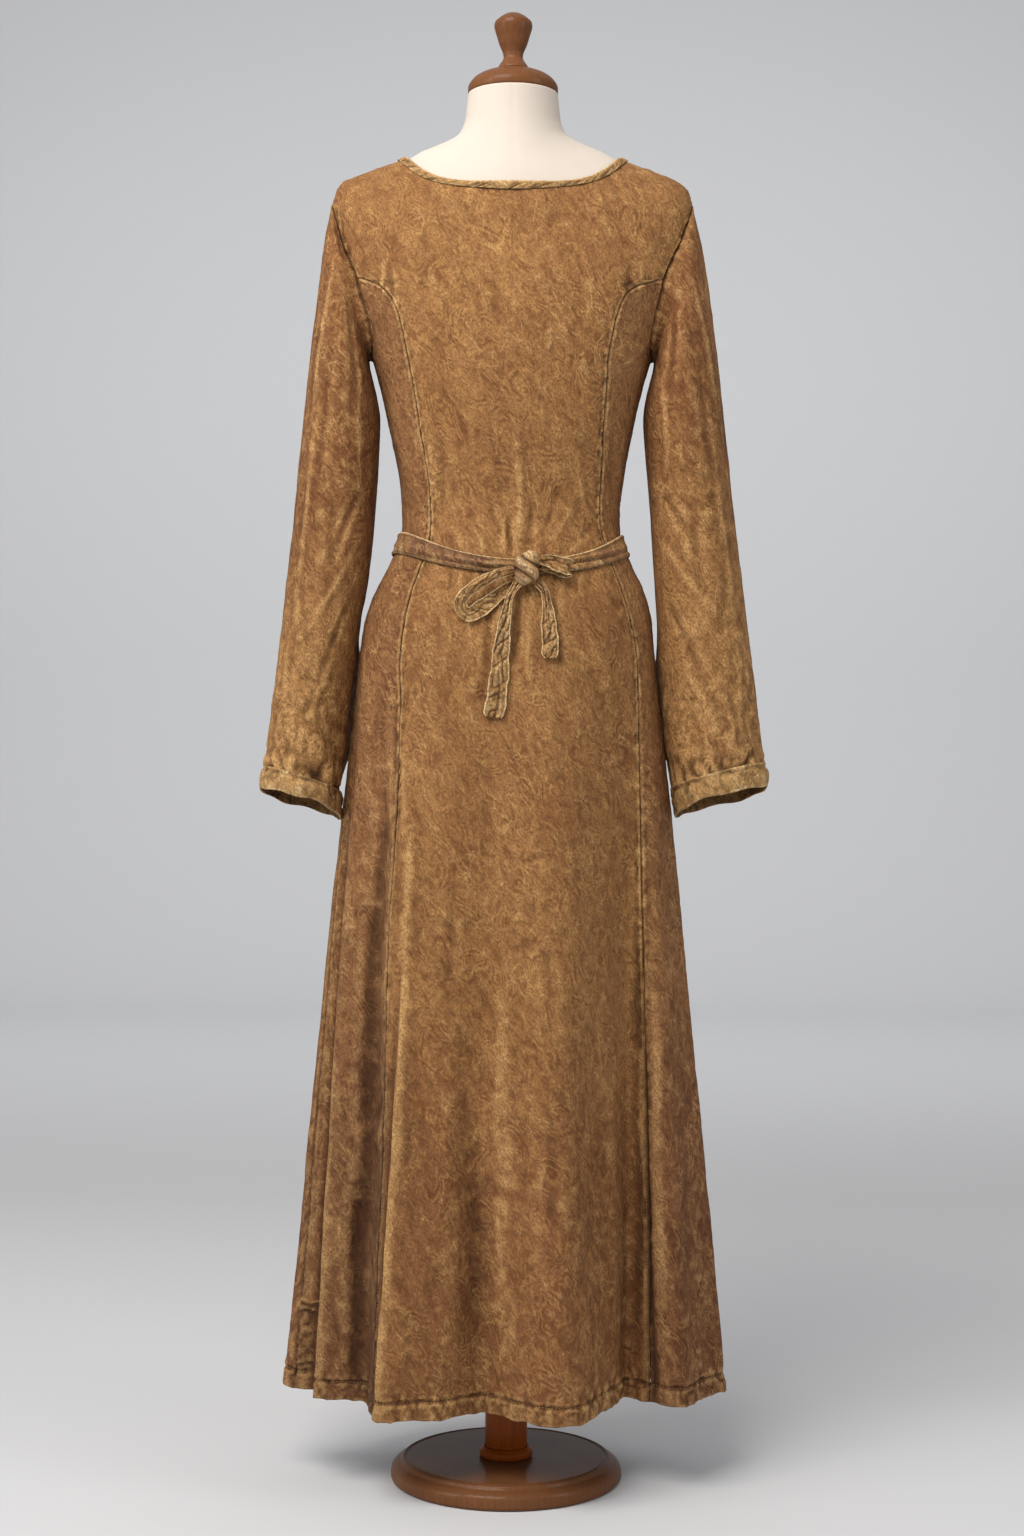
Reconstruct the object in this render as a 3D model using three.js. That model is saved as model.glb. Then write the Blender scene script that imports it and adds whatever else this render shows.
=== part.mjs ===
// Long-sleeved, princess-seamed maxi dress with a sash tied in a bow at the back,
// worn by a limbless dress form on a turned wooden stand.
// Millimetres, +Z up, origin at the centre of the base's underside.
// The dress's back (the tied side) faces -Y and its front faces +Y.
import * as THREE from 'three';

// ---------------------------------------------------------------- driving sizes
const WALL = 1.5;            // thickness of a single cloth wall
const HEM_WALL = 2.5;        // turned-up hem and cuff
const SEAM = 0.4;            // space between two pieces sewn edge to edge
const LIE = 0.4;             // space under a piece that lies on another
const HEM = 99;              // height of the skirt's lower edge
const HIP = 909;             // height below which the skirt starts to flare into folds
const UNDERARM = 1243;
const JUNCTION = 1330;       // where the princess seams run into the armholes
const SHOULDER = 1420;       // shoulder point, where sleeve, back and front meet
const NECK = 1466;           // neck edge at the side of the neck
const BINDING = 10;          // height of the neck binding
const SASH = { side: 1036, dip: 32, at: 6, spread: 84, half: 12, pinch: 4, wall: 1.8 };
const FORM_FOOT = 796;       // lower end of the dress form
const POLE_R = 23.4;
const COLLAR = { r: 29.5, low: 24.4, high: 36 };
const BASE = { r: 128, high: 24 };

// Sections of the worn bodice and hip, level by level: the height at the sides (h), where
// the same section passes the back and the front, its half widths, its depths and how
// square it is (2 = an ellipse).
const SECTIONS = [
  { h: 909, back: 909, front: 909, left: 168, right: 160, rear: 118, fore: 112, square: 2.0 },
  { h: 954, back: 954, front: 954, left: 161, right: 157, rear: 114, fore: 108, square: 2.05 },
  { h: 976, back: 976, front: 976, left: 153, right: 152, rear: 109, fore: 106, square: 2.1 },
  { h: 1020, back: 1020, front: 1020, left: 132, right: 132, rear: 97, fore: 100, square: 2.15 },
  { h: 1048, back: 1048, front: 1048, left: 122, right: 122, rear: 91, fore: 97, square: 2.2 },
  { h: 1075, back: 1075, front: 1075, left: 121, right: 121, rear: 90, fore: 98, square: 2.2 },
  { h: 1110, back: 1110, front: 1110, left: 124, right: 125, rear: 94, fore: 107, square: 2.25 },
  { h: 1154, back: 1154, front: 1154, left: 133, right: 133, rear: 101, fore: 124, square: 2.3 },
  { h: 1199, back: 1198, front: 1196, left: 143, right: 143, rear: 106, fore: 131, square: 2.3 },
  { h: 1266, back: 1260, front: 1250, left: 162, right: 162, rear: 107, fore: 122, square: 2.3 },
  { h: 1336, back: 1318, front: 1300, left: 183, right: 183, rear: 100, fore: 106, square: 2.3 },
  { h: 1388, back: 1357, front: 1334, left: 196, right: 196, rear: 91, fore: 95, square: 2.25 },
  { h: 1420, back: 1383, front: 1348, left: 198, right: 198, rear: 85, fore: 90, square: 2.2 },
  { h: 1440, back: 1400, front: 1356, left: 186, right: 186, rear: 82, fore: 88, square: 2.15 },
  { h: 1453, back: 1412, front: 1362, left: 154, right: 154, rear: 79, fore: 87, square: 2.1 },
  { h: 1466, back: 1424, front: 1368, left: 118, right: 118, rear: 76, fore: 86, square: 2.1 },
];

// Folds of the skirt, as they stand at the hem: where round the skirt (degrees from the back
// centre, towards +X), half spread in degrees, how far it stands out from the hem's inner
// oval (negative: a trough) and how far it leans along the hem.
const VALLEY = { wide: 192, deep: 104, gain: 0.92 };
const FOLDS = [
  { at: -128, spread: 17, out: 46, lean: 0 },
  { at: -96, spread: 19, out: 58, lean: 4 },
  { at: -68, spread: 14, out: 30, lean: -20 },
  { at: -38, spread: 17, out: 60, lean: 10 },
  { at: -22, spread: 15, out: 38, lean: 0 },
  { at: 14, spread: 23, out: 60, lean: 6 },
  { at: 53, spread: 21, out: -38, lean: 0 },
  { at: 68, spread: 16, out: 38, lean: -22 },
  { at: 88, spread: 18, out: 52, lean: 6 },
  { at: 120, spread: 19, out: 50, lean: 8 },
  { at: 150, spread: 17, out: 52, lean: -8 },
  { at: 180, spread: 16, out: 44, lean: 6 },
  { at: -156, spread: 17, out: 50, lean: 8 },
];

// Princess seams: degrees from the back centre (left, right) and from the front centre.
const SEAMS = [
  { h: 99, left: 44, right: 61, front: 48 },
  { h: 855, left: 43.5, right: 60.5, front: 48 },
  { h: 909, left: 45, right: 60, front: 48 },
  { h: 976, left: 44, right: 54, front: 46 },
  { h: 1048, left: 43.5, right: 52.5, front: 44 },
  { h: 1110, left: 45, right: 49.5, front: 44 },
  { h: 1150, left: 45.5, right: 46, front: 43 },
  { h: 1200, left: 45, right: 43, front: 42 },
  { h: 1243, left: 44.5, right: 40, front: 41 },
  { h: 1285, left: 44.2, right: 39.7, front: 41.5 },
  { h: 1310, left: 47, right: 41.5, front: 44.5 },
  { h: 1322, left: 52, right: 47, front: 50 },
  { h: 1330, left: 65.6, right: 62, front: 60.4 },
];

// Armhole edges, in degrees from the back centre (left, right) and from the front centre.
const ARMHOLE = [
  { h: 1243, left: 90, right: 90, front: 90 },
  { h: 1247, left: 79, right: 78, front: 77 },
  { h: 1260, left: 71, right: 70, front: 68 },
  { h: 1285, left: 68, right: 66.5, front: 63.5 },
  { h: 1310, left: 67.4, right: 65, front: 62 },
  { h: 1322, left: 67.2, right: 64.2, front: 61.8 },
  { h: 1330, left: 67, right: 63.6, front: 62 },
  { h: 1355, left: 71, right: 66.5, front: 64.5 },
  { h: 1385, left: 75.5, right: 73, front: 70 },
  { h: 1405, left: 80.5, right: 79.5, front: 77 },
  { h: 1420, left: 90, right: 90, front: 90 },
];

// Levels of the dress's mesh; drop lets a level sink towards the knot at the back.
const LEVELS = [
  { h: 99 }, { h: 121 }, { h: 220 }, { h: 330 }, { h: 450 }, { h: 580 }, { h: 720 },
  { h: 830 }, { h: 909 }, { h: 950 }, { h: 990, drop: 18 }, { sash: -1 }, { sash: 1 },
  { h: 1076, drop: 12 }, { h: 1110 }, { h: 1154 }, { h: 1199 }, { h: 1243 }, { h: 1247 },
  { h: 1260 }, { h: 1285 }, { h: 1310 }, { h: 1322 }, { h: 1330 }, { h: 1355 }, { h: 1385 },
  { h: 1405 }, { h: 1420 }, { h: 1440 }, { binding: true }, { h: 1466 },
];

// Sleeves: outer and inner edge of each section seen from the back (distance from the
// middle, height) and half its front-to-back depth.
const SLEEVES = {
  left: [
    { out: 203, outZ: 1402, inn: 158.5, innZ: 1241, deep: 52 },
    { out: 208, outZ: 1376, inn: 157, innZ: 1231, deep: 57 },
    { out: 213, outZ: 1338, inn: 153.5, innZ: 1217, deep: 61 },
    { out: 219, outZ: 1290, inn: 149.5, innZ: 1200, deep: 63 },
    { out: 225, outZ: 1236, inn: 146, innZ: 1178, deep: 63 },
    { out: 231, outZ: 1172, inn: 146.5, innZ: 1142, deep: 62 },
    { out: 238, outZ: 1098, inn: 150, innZ: 1086, deep: 60 },
    { out: 247, outZ: 1010, inn: 157, innZ: 1006, deep: 58 },
    { out: 256, outZ: 930, inn: 170, innZ: 930, deep: 57 },
    { out: 264, outZ: 860, inn: 181, innZ: 852, deep: 57 },
    { out: 272, outZ: 789, inn: 188, innZ: 763, deep: 58 },
  ],
  right: [
    { out: 203, outZ: 1402, inn: 158.5, innZ: 1241, deep: 52 },
    { out: 209, outZ: 1376, inn: 157, innZ: 1231, deep: 57 },
    { out: 216, outZ: 1338, inn: 153.5, innZ: 1217, deep: 61 },
    { out: 223, outZ: 1290, inn: 149.5, innZ: 1200, deep: 63 },
    { out: 230, outZ: 1236, inn: 147, innZ: 1178, deep: 63 },
    { out: 237, outZ: 1172, inn: 149, innZ: 1142, deep: 62 },
    { out: 245, outZ: 1098, inn: 154, innZ: 1086, deep: 60 },
    { out: 256, outZ: 1010, inn: 159.5, innZ: 1006, deep: 58 },
    { out: 266, outZ: 930, inn: 165, innZ: 930, deep: 57 },
    { out: 275, outZ: 860, inn: 171, innZ: 852, deep: 57 },
    { out: 284, outZ: 796, inn: 180, innZ: 769, deep: 58 },
  ],
};
const CUFFS = {
  left: [
    { out: 274.5, outZ: 776, inn: 188.5, innZ: 749, deep: 60 },
    { out: 276, outZ: 762, inn: 189, innZ: 734, deep: 59 },
  ],
  right: [
    { out: 285.5, outZ: 781, inn: 183, innZ: 753, deep: 60 },
    { out: 286, outZ: 767, inn: 186, innZ: 738, deep: 59 },
  ],
};
const TIP = 6;               // the front half of a sleeve's end hangs this much lower

// Dress form: how far it stays inside the cloth's outer face, level by level.
const INSET = [
  { h: 796, by: 22 }, { h: 850, by: 12 }, { h: 909, by: 8 }, { h: 976, by: 8 },
  { h: 1048, by: 6 }, { h: 1110, by: 5.5 }, { h: 1199, by: 5.5 }, { h: 1285, by: 5 },
  { h: 1355, by: 5 }, { h: 1385, by: 5.4 }, { h: 1405, by: 5.6 }, { h: 1420, by: 3.6 },
  { h: 1440, by: 2.1 },
  { h: 1466, by: 2.1 },
];
// Its neck, from the neck edge of the dress to the wooden cap.
const NECK_SECTIONS = [
  { h: 1474, back: 1443, front: 1390, half: 101, rear: 68, fore: 76 },
  { h: 1481, back: 1458, front: 1414, half: 83, rear: 62, fore: 68 },
  { h: 1490, back: 1476, front: 1442, half: 64, rear: 57, fore: 60 },
  { h: 1503, back: 1495, front: 1472, half: 55, rear: 53, fore: 54 },
  { h: 1519, back: 1515, front: 1502, half: 52, rear: 51, fore: 51.5 },
  { h: 1538, back: 1538, front: 1538, half: 50, rear: 50, fore: 50 },
];

// Bow: x and z of each strap's middle, its distance from the cloth behind it, its width,
// and the direction across it (degrees from +X towards +Z).
const KNOT = { x: 17.5, z: 1002, wide: 13, high: 17.5, deep: 9.5 };
const LOOP_LEFT = [
  { x: 2.5, z: 1001, off: 11, wide: 10, across: 118 },
  { x: -8, z: 994, off: 17, wide: 15, across: 122 },
  { x: -24, z: 982, off: 21, wide: 22, across: 126 },
  { x: -40, z: 971, off: 19, wide: 25, across: 130 },
  { x: -49, z: 963, off: 12, wide: 25, across: 134 },
  { x: -43, z: 964, off: 5.5, wide: 24, across: 134 },
  { x: -27, z: 974, off: 4, wide: 21, across: 128 },
  { x: -9, z: 986, off: 4, wide: 14, across: 122 },
  { x: 1.5, z: 992, off: 4.5, wide: 9, across: 118 },
];
const LOOP_RIGHT = [
  { x: 31.5, z: 1011, off: 9, wide: 9, across: 88 },
  { x: 42, z: 1010, off: 15, wide: 14, across: 84 },
  { x: 54, z: 1006, off: 17, wide: 18, across: 80 },
  { x: 63, z: 1003, off: 13, wide: 18, across: 78 },
  { x: 59, z: 1001, off: 8.5, wide: 16, across: 78 },
  { x: 47, z: 1003, off: 7, wide: 13, across: 82 },
  { x: 33, z: 1004, off: 6.5, wide: 8, across: 88 },
];
const TAIL_LONG = [
  { x: 8, z: 986, off: 9, wide: 10, across: 10 },
  { x: 3, z: 978, off: 9, wide: 8, across: 6 },
  { x: -2, z: 966, off: 7, wide: 9, across: 2 },
  { x: -7, z: 935, off: 5, wide: 15, across: 0 },
  { x: -10, z: 905, off: 4, wide: 19, across: 4 },
  { x: -12, z: 880, off: 4.5, wide: 21, across: 2 },
  { x: -15, z: 858, off: 4, wide: 22, across: 6 },
  { x: -17.5, z: 842, off: 4, wide: 23, across: 8 },
];
const TAIL_SHORT = [
  { x: 30, z: 986, off: 9, wide: 9, across: -20 },
  { x: 37, z: 976, off: 8, wide: 9, across: -8 },
  { x: 40, z: 956, off: 6, wide: 13, across: -2 },
  { x: 42, z: 932, off: 5, wide: 18, across: -2 },
  { x: 43, z: 906, off: 4, wide: 17, across: 3 },
];

// Turned profiles, radius and height.
const BASE_PROFILE = [
  [0, 0], [122, 0], [127, 2], [128, 6], [127.5, 12], [124, 17], [118, 20], [115, 24],
  [112, 23], [108, 24], [0, 24],
];
const COLLAR_PROFILE = [
  [POLE_R + 0.3, COLLAR.low], [28, COLLAR.low], [COLLAR.r, 27], [COLLAR.r, 31], [27, 34.5],
  [25.5, COLLAR.high], [POLE_R + 0.3, COLLAR.high],
];
const CAP_PROFILE = [
  [0, 1538.4], [49, 1538.4], [50, 1540], [50, 1546], [48, 1550.5], [43, 1555.5],
  [34, 1560.8], [20, 1565], [0, 1565],
];
const FINIAL_PROFILE = [
  [0, 1565.3], [17.5, 1565.3], [17.5, 1567.5], [14.5, 1572.5], [11, 1577.5], [11, 1583],
  [15.5, 1594], [18, 1603], [20.8, 1611], [21.2, 1616], [16.5, 1622.3], [9, 1627.6],
  [0, 1629.4],
];

// ---------------------------------------------------------------- the worn surface
const rad = (deg) => deg * Math.PI / 180;
const mix = (a, b, t) => a + (b - a) * t;
const bump = (x) => (Math.abs(x) < 1 ? Math.cos(Math.PI / 2 * x) ** 2 : 0);
const signedPower = (x, p) => Math.sign(x) * Math.abs(x) ** p;

// straight reading between the rows of a table
function read(table, h, name) {
  let i = 0;
  while (i < table.length - 2 && h > table[i + 1].h) i += 1;
  const a = table[i];
  const b = table[i + 1];
  const t = Math.min(1, Math.max(0, (h - a.h) / (b.h - a.h)));
  return mix(a[name], b[name], t);
}

// smooth reading: a cubic whose slopes are taken from the neighbouring rows
function readSmooth(table, h, name) {
  const n = table.length;
  let i = 0;
  while (i < n - 2 && h > table[i + 1].h) i += 1;
  const slope = (k) => {
    if (k === 0) return (table[1][name] - table[0][name]) / (table[1].h - table[0].h);
    if (k === n - 1) {
      return (table[k][name] - table[k - 1][name]) / (table[k].h - table[k - 1].h);
    }
    const before = table[k].h - table[k - 1].h;
    const after = table[k + 1].h - table[k].h;
    const s0 = (table[k][name] - table[k - 1][name]) / before;
    const s1 = (table[k + 1][name] - table[k][name]) / after;
    return (s0 * after + s1 * before) / (before + after);
  };
  const w = table[i + 1].h - table[i].h;
  const t = (h - table[i].h) / w;
  const a = table[i][name];
  const b = table[i + 1][name];
  return (2 * t ** 3 - 3 * t ** 2 + 1) * a + (t ** 3 - 2 * t ** 2 + t) * slope(i) * w
    + (3 * t ** 2 - 2 * t ** 3) * b + (t ** 3 - t ** 2) * slope(i + 1) * w;
}

// a section of the bodice: u is the angle from the back centre, h the height at the sides
function section(u, h) {
  const s = Math.sin(rad(u));
  const c = Math.cos(rad(u));
  const get = (name) => readSmooth(SECTIONS, h, name);
  const power = 2 / get('square');
  const end = c > 0 ? get('back') : get('front');
  return new THREE.Vector3(
    (s > 0 ? get('right') : get('left')) * signedPower(s, power),
    -(c > 0 ? get('rear') : get('fore')) * signedPower(c, power),
    end + (h - end) * s ** 4,
  );
}

// the hem's line: an inner oval with the folds standing out of it
function hemLine(u) {
  const s = Math.sin(rad(u));
  const c = Math.cos(rad(u));
  const normal = new THREE.Vector2(s / VALLEY.wide, -c / VALLEY.deep).normalize();
  const along = new THREE.Vector2(-normal.y, normal.x);
  const p = new THREE.Vector2(VALLEY.wide * s, -VALLEY.deep * c);
  for (const fold of FOLDS) {
    const away = ((u - fold.at + 540) % 360) - 180;
    const size = bump(away / fold.spread);
    p.addScaledVector(normal, size * fold.out);
    p.addScaledVector(along, size * fold.lean);
  }
  return p;
}

// a point of the dress's outer face
function dress(u, h) {
  if (h >= HIP) return section(u, h);
  const p = section(u, HIP);
  const low = hemLine(u);
  const t = ((HIP - h) / (HIP - HEM)) ** VALLEY.gain;
  return new THREE.Vector3(mix(p.x, low.x, t), mix(p.y, low.y, t), h);
}

function outward(surface, u, h, top) {
  const h1 = Math.min(h + 0.6, top);
  const side = surface(u + 0.3, h).sub(surface(u - 0.3, h));
  const up = surface(u, h1).sub(surface(u, h1 - 1.2));
  return side.cross(up).normalize();
}
const dressOut = (u, h) => outward(dress, u, h, NECK);

// the sash's middle, which sinks towards the knot
function sashAt(u, side) {
  const near = bump((u - SASH.at) / SASH.spread);
  return SASH.side - SASH.dip * near + side * (SASH.half - SASH.pinch * near);
}

// the height that lies a given distance below the neck edge, measured on the cloth
function belowNeck(u, distance) {
  const edge = dress(u, NECK);
  let low = SHOULDER;
  let high = NECK;
  for (let k = 0; k < 30; k += 1) {
    const mid = (low + high) / 2;
    if (dress(u, mid).distanceTo(edge) > distance) low = mid;
    else high = mid;
  }
  return (low + high) / 2;
}

function levelAt(level, u) {
  if (level.binding) return belowNeck(u, BINDING);
  if (level.sash) return sashAt(u, level.sash);
  return level.h - (level.drop || 0) * bump((u - SASH.at) / SASH.spread);
}

// ---------------------------------------------------------------- solids from grids
const group = new THREE.Group();

function addMesh(name, positions, indices, look) {
  const geometry = new THREE.BufferGeometry();
  geometry.setAttribute('position', new THREE.Float32BufferAttribute(positions, 3));
  geometry.setIndex(indices);
  geometry.computeVertexNormals();
  const mesh = new THREE.Mesh(geometry, new THREE.MeshStandardMaterial(look));
  mesh.name = name;
  group.add(mesh);
  return mesh;
}

// A cloth wall between an outer and an inner grid of points. Rows run upwards and columns
// towards growing u, so the outer face looks out of the dress. A ring closes on itself.
function addWall(name, outer, inner, ring, look) {
  const rows = outer.length;
  const cols = outer[0].length;
  const positions = [];
  for (const grid of [outer, inner]) {
    for (const row of grid) for (const p of row) positions.push(p.x, p.y, p.z);
  }
  const indices = [];
  const o = (i, j) => i * cols + (j % cols);
  const n = (i, j) => rows * cols + o(i, j);
  const last = ring ? cols : cols - 1;
  const quad = (a, b, c, d) => indices.push(a, b, c, a, c, d);
  for (let j = 0; j < last; j += 1) {
    for (let i = 0; i < rows - 1; i += 1) {
      quad(o(i, j), o(i, j + 1), o(i + 1, j + 1), o(i + 1, j));
      indices.push(n(i, j), n(i + 1, j + 1), n(i, j + 1), n(i, j), n(i + 1, j), n(i + 1, j + 1));
    }
    quad(n(0, j), n(0, j + 1), o(0, j + 1), o(0, j));
    quad(o(rows - 1, j), o(rows - 1, j + 1), n(rows - 1, j + 1), n(rows - 1, j));
  }
  if (!ring) {
    for (let i = 0; i < rows - 1; i += 1) {
      quad(n(i, 0), o(i, 0), o(i + 1, 0), n(i + 1, 0));
      quad(o(i, cols - 1), n(i, cols - 1), n(i + 1, cols - 1), o(i + 1, cols - 1));
    }
  }
  return addMesh(name, positions, indices, look);
}

// A solid between rings, closed at both ends by a fan round the ring's middle.
function addRings(name, rings, look) {
  const cols = rings[0].length;
  const positions = [];
  for (const ring of rings) for (const p of ring) positions.push(p.x, p.y, p.z);
  const indices = [];
  for (let i = 0; i < rings.length - 1; i += 1) {
    for (let j = 0; j < cols; j += 1) {
      const a = i * cols + j;
      const b = i * cols + (j + 1) % cols;
      indices.push(a, b, b + cols, a, b + cols, a + cols);
    }
  }
  const middle = (ring) => {
    const m = new THREE.Vector3();
    for (const p of ring) m.add(p);
    m.divideScalar(cols);
    positions.push(m.x, m.y, m.z);
    return positions.length / 3 - 1;
  };
  const foot = middle(rings[0]);
  const head = middle(rings[rings.length - 1]);
  const top = (rings.length - 1) * cols;
  for (let j = 0; j < cols; j += 1) {
    indices.push(foot, (j + 1) % cols, j);
    indices.push(head, top + j, top + (j + 1) % cols);
  }
  return addMesh(name, positions, indices, look);
}

// A turned solid: the profile runs from the axis to the axis, or closes on itself.
function addTurned(name, profile, steps, look) {
  const hollow = profile[0][0] > 0;
  const points = profile.map(([r, z]) => new THREE.Vector2(r, z));
  if (hollow) points.push(points[0].clone());
  const positions = [];
  const start = [];
  for (const p of points.slice(0, hollow ? -1 : undefined)) {
    start.push(positions.length / 3);
    const count = p.x > 0 ? steps : 1;
    for (let j = 0; j < count; j += 1) {
      const a = 2 * Math.PI * j / steps;
      positions.push(p.x * Math.cos(a), p.x * Math.sin(a), p.y);
    }
  }
  const at = (k, j) => {
    const m = k % start.length;
    return start[m] + (points[m].x > 0 ? j % steps : 0);
  };
  const indices = [];
  for (let k = 0; k < points.length - 1; k += 1) {
    for (let j = 0; j < steps; j += 1) {
      const corners = [at(k, j), at(k, j + 1), at(k + 1, j + 1), at(k + 1, j)];
      if (corners[0] !== corners[1]) indices.push(corners[0], corners[1], corners[2]);
      if (corners[2] !== corners[3]) indices.push(corners[0], corners[2], corners[3]);
    }
  }
  return addMesh(name, positions, indices, look);
}

// ---------------------------------------------------------------- looks
const CLOTH = { color: 0x8a6844, roughness: 0.9, metalness: 0 };
const SIDE_CLOTH = { color: 0x7a5738, roughness: 0.9, metalness: 0 };
const SLEEVE_CLOTH = { color: 0x856341, roughness: 0.9, metalness: 0 };
const EDGE_CLOTH = { color: 0x9a7850, roughness: 0.9, metalness: 0 };
const WOOD = { color: 0x5a3019, roughness: 0.3, metalness: 0 };
const LINEN = { color: 0xeee4d4, roughness: 0.95, metalness: 0 };

// ---------------------------------------------------------------- dress panels
// half the seam's space, in degrees; a slanting edge takes more of it
function trim(edge, h) {
  const reach = dress(edge(h), h).setZ(0).length() * Math.PI / 180;
  const slant = (edge(h + 2) - edge(h - 2)) / 4 * reach;
  return SEAM / 2 / reach * Math.min(6, Math.hypot(1, slant));
}

function centreEdge(side, front, h) {
  const name = front ? 'front' : side;
  if (h >= SHOULDER) return 90;
  return h > JUNCTION ? read(ARMHOLE, h, name) : read(SEAMS, h, name);
}

// turns "degrees from the front or back centre, to the left or right" into u
function turnTo(side, front, angle) {
  if (front) return side === 'left' ? -180 + angle : 180 - angle;
  return side === 'left' ? -angle : angle;
}

function panel(name, levels, from, to, cols, look) {
  const outer = [];
  const inner = [];
  for (const level of levels) {
    const outerRow = [];
    const innerRow = [];
    const base = level.h || SASH.side;
    const h0 = level.binding ? NECK : base;
    const a = from(h0) + trim(from, h0);
    const b = to(h0) - trim(to, h0);
    for (let j = 0; j <= cols; j += 1) {
      const u = mix(a, b, j / cols);
      const h = levelAt(level, u > 180 ? u - 360 : u);
      const p = dress(u, h);
      outerRow.push(p);
      const wall = h < HEM + 30 ? HEM_WALL : WALL;
      innerRow.push(p.clone().addScaledVector(dressOut(u, h), -wall));
    }
    outer.push(outerRow);
    inner.push(innerRow);
  }
  addWall(name, outer, inner, false, look);
  return outer;
}

const CENTRE_COLS = 20;
const FRONT_COLS = 18;
const SIDE_COLS = 7;

panel('back_centre_panel', LEVELS,
  (h) => -centreEdge('left', false, h), (h) => centreEdge('right', false, h),
  CENTRE_COLS, CLOTH);
panel('front_centre_panel', LEVELS,
  (h) => 180 - centreEdge('right', true, h), (h) => 180 + centreEdge('left', true, h),
  FRONT_COLS, CLOTH);

// side panels reach from the side seam, or the armhole above it, to the princess seam
const SIDE_LEVELS = LEVELS.filter((level) => !level.binding && !(level.h > JUNCTION));
const sideEdge = (side, front, h) => (h <= UNDERARM ? 90
  : read(ARMHOLE, h, front ? 'front' : side));
panel('back_side_panel_left', SIDE_LEVELS,
  (h) => -sideEdge('left', false, h), (h) => -read(SEAMS, h, 'left'), SIDE_COLS, SIDE_CLOTH);
panel('back_side_panel_right', SIDE_LEVELS,
  (h) => read(SEAMS, h, 'right'), (h) => sideEdge('right', false, h), SIDE_COLS, SIDE_CLOTH);
panel('front_side_panel_left', SIDE_LEVELS,
  (h) => -180 + read(SEAMS, h, 'front'), (h) => -180 + sideEdge('left', true, h),
  SIDE_COLS, SIDE_CLOTH);
panel('front_side_panel_right', SIDE_LEVELS,
  (h) => 180 - sideEdge('right', true, h), (h) => 180 - read(SEAMS, h, 'front'),
  SIDE_COLS, SIDE_CLOTH);

// every column of the panels at a level, all round the dress
function columnsRound(h) {
  const list = [];
  const add = (from, to, cols) => {
    const a = from + trim(() => from, h);
    const b = to - trim(() => to, h);
    for (let j = 0; j <= cols; j += 1) list.push(mix(a, b, j / cols));
  };
  if (h > SHOULDER) {
    add(-90, 90, CENTRE_COLS);
    add(90, 270, FRONT_COLS);
    return list;
  }
  const seam = (name) => read(SEAMS, h, name);
  add(-90, -seam('left'), SIDE_COLS);
  add(-seam('left'), seam('right'), CENTRE_COLS);
  add(seam('right'), 90, SIDE_COLS);
  add(90, 180 - seam('front'), SIDE_COLS);
  add(180 - seam('front'), 180 + seam('front'), FRONT_COLS);
  add(180 + seam('front'), 270, SIDE_COLS);
  return list;
}

// a band that lies on the panels between two of their levels
function band(name, levels, columns, rise, wall, look) {
  const outer = [];
  const inner = [];
  for (const level of levels) {
    const lift = (by) => columns.map((u) => {
      const h = levelAt(level, u > 180 ? u - 360 : u);
      return dress(u, h).addScaledVector(dressOut(u, h), by);
    });
    outer.push(lift(rise + wall));
    inner.push(lift(rise));
  }
  addWall(name, outer, inner, true, look);
}
band('neck_binding', [{ binding: true }, { h: NECK }], columnsRound(NECK), LIE, 1.6, EDGE_CLOTH);
band('sash', [{ sash: -1 }, { sash: 1 }], columnsRound(SASH.side), LIE, SASH.wall, EDGE_CLOTH);

// ---------------------------------------------------------------- sleeves and cuffs
const ARM_MID = (UNDERARM + SHOULDER) / 2;
const ARM_HALF = (SHOULDER - UNDERARM) / 2;

// points of the armhole in turn: shoulder, down the back edge, underarm, up the front edge
function armholePoints(side) {
  const up = ARMHOLE.map((row) => row.h);
  const list = [];
  for (const h of [...up].reverse()) list.push({ h, front: false });
  for (const h of up.slice(1, -1)) list.push({ h, front: true });
  return list.map(({ h, front }) => {
    const angle = Math.acos(Math.min(1, Math.max(-1, (h - ARM_MID) / ARM_HALF)));
    const u = turnTo(side, front, read(ARMHOLE, h, front ? 'front' : side));
    return { u, h, turn: front ? -angle : angle };
  });
}

function sleeveRing(row, turns, sign, grow) {
  const c = new THREE.Vector3((row.out + row.inn) / 2, 0, (row.outZ + row.innZ) / 2);
  const e = new THREE.Vector3((row.out - row.inn) / 2, 0, (row.outZ - row.innZ) / 2);
  const length = e.length();
  e.multiplyScalar((length + grow) / length);
  return turns.map((turn) => {
    const across = signedPower(Math.cos(turn), 0.93);
    const depth = signedPower(Math.sin(turn), 0.93);
    const p = c.clone().addScaledVector(e, across);
    p.y = -(row.deep + grow) * depth;
    p.z += row.outZ < 900 ? TIP * depth : 0;
    p.x *= sign;
    return p;
  });
}

function ringWall(rings, wall) {
  const cols = rings[0].length;
  return rings.map((ring, i) => ring.map((p, j) => {
    const a = rings[Math.min(i + 1, rings.length - 1)][j];
    const b = rings[Math.max(i - 1, 0)][j];
    const side = ring[(j + 1) % cols].clone().sub(ring[(j + cols - 1) % cols]);
    const n = side.cross(a.clone().sub(b)).normalize();
    return { p, q: p.clone().addScaledVector(n, -wall) };
  }));
}

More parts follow.
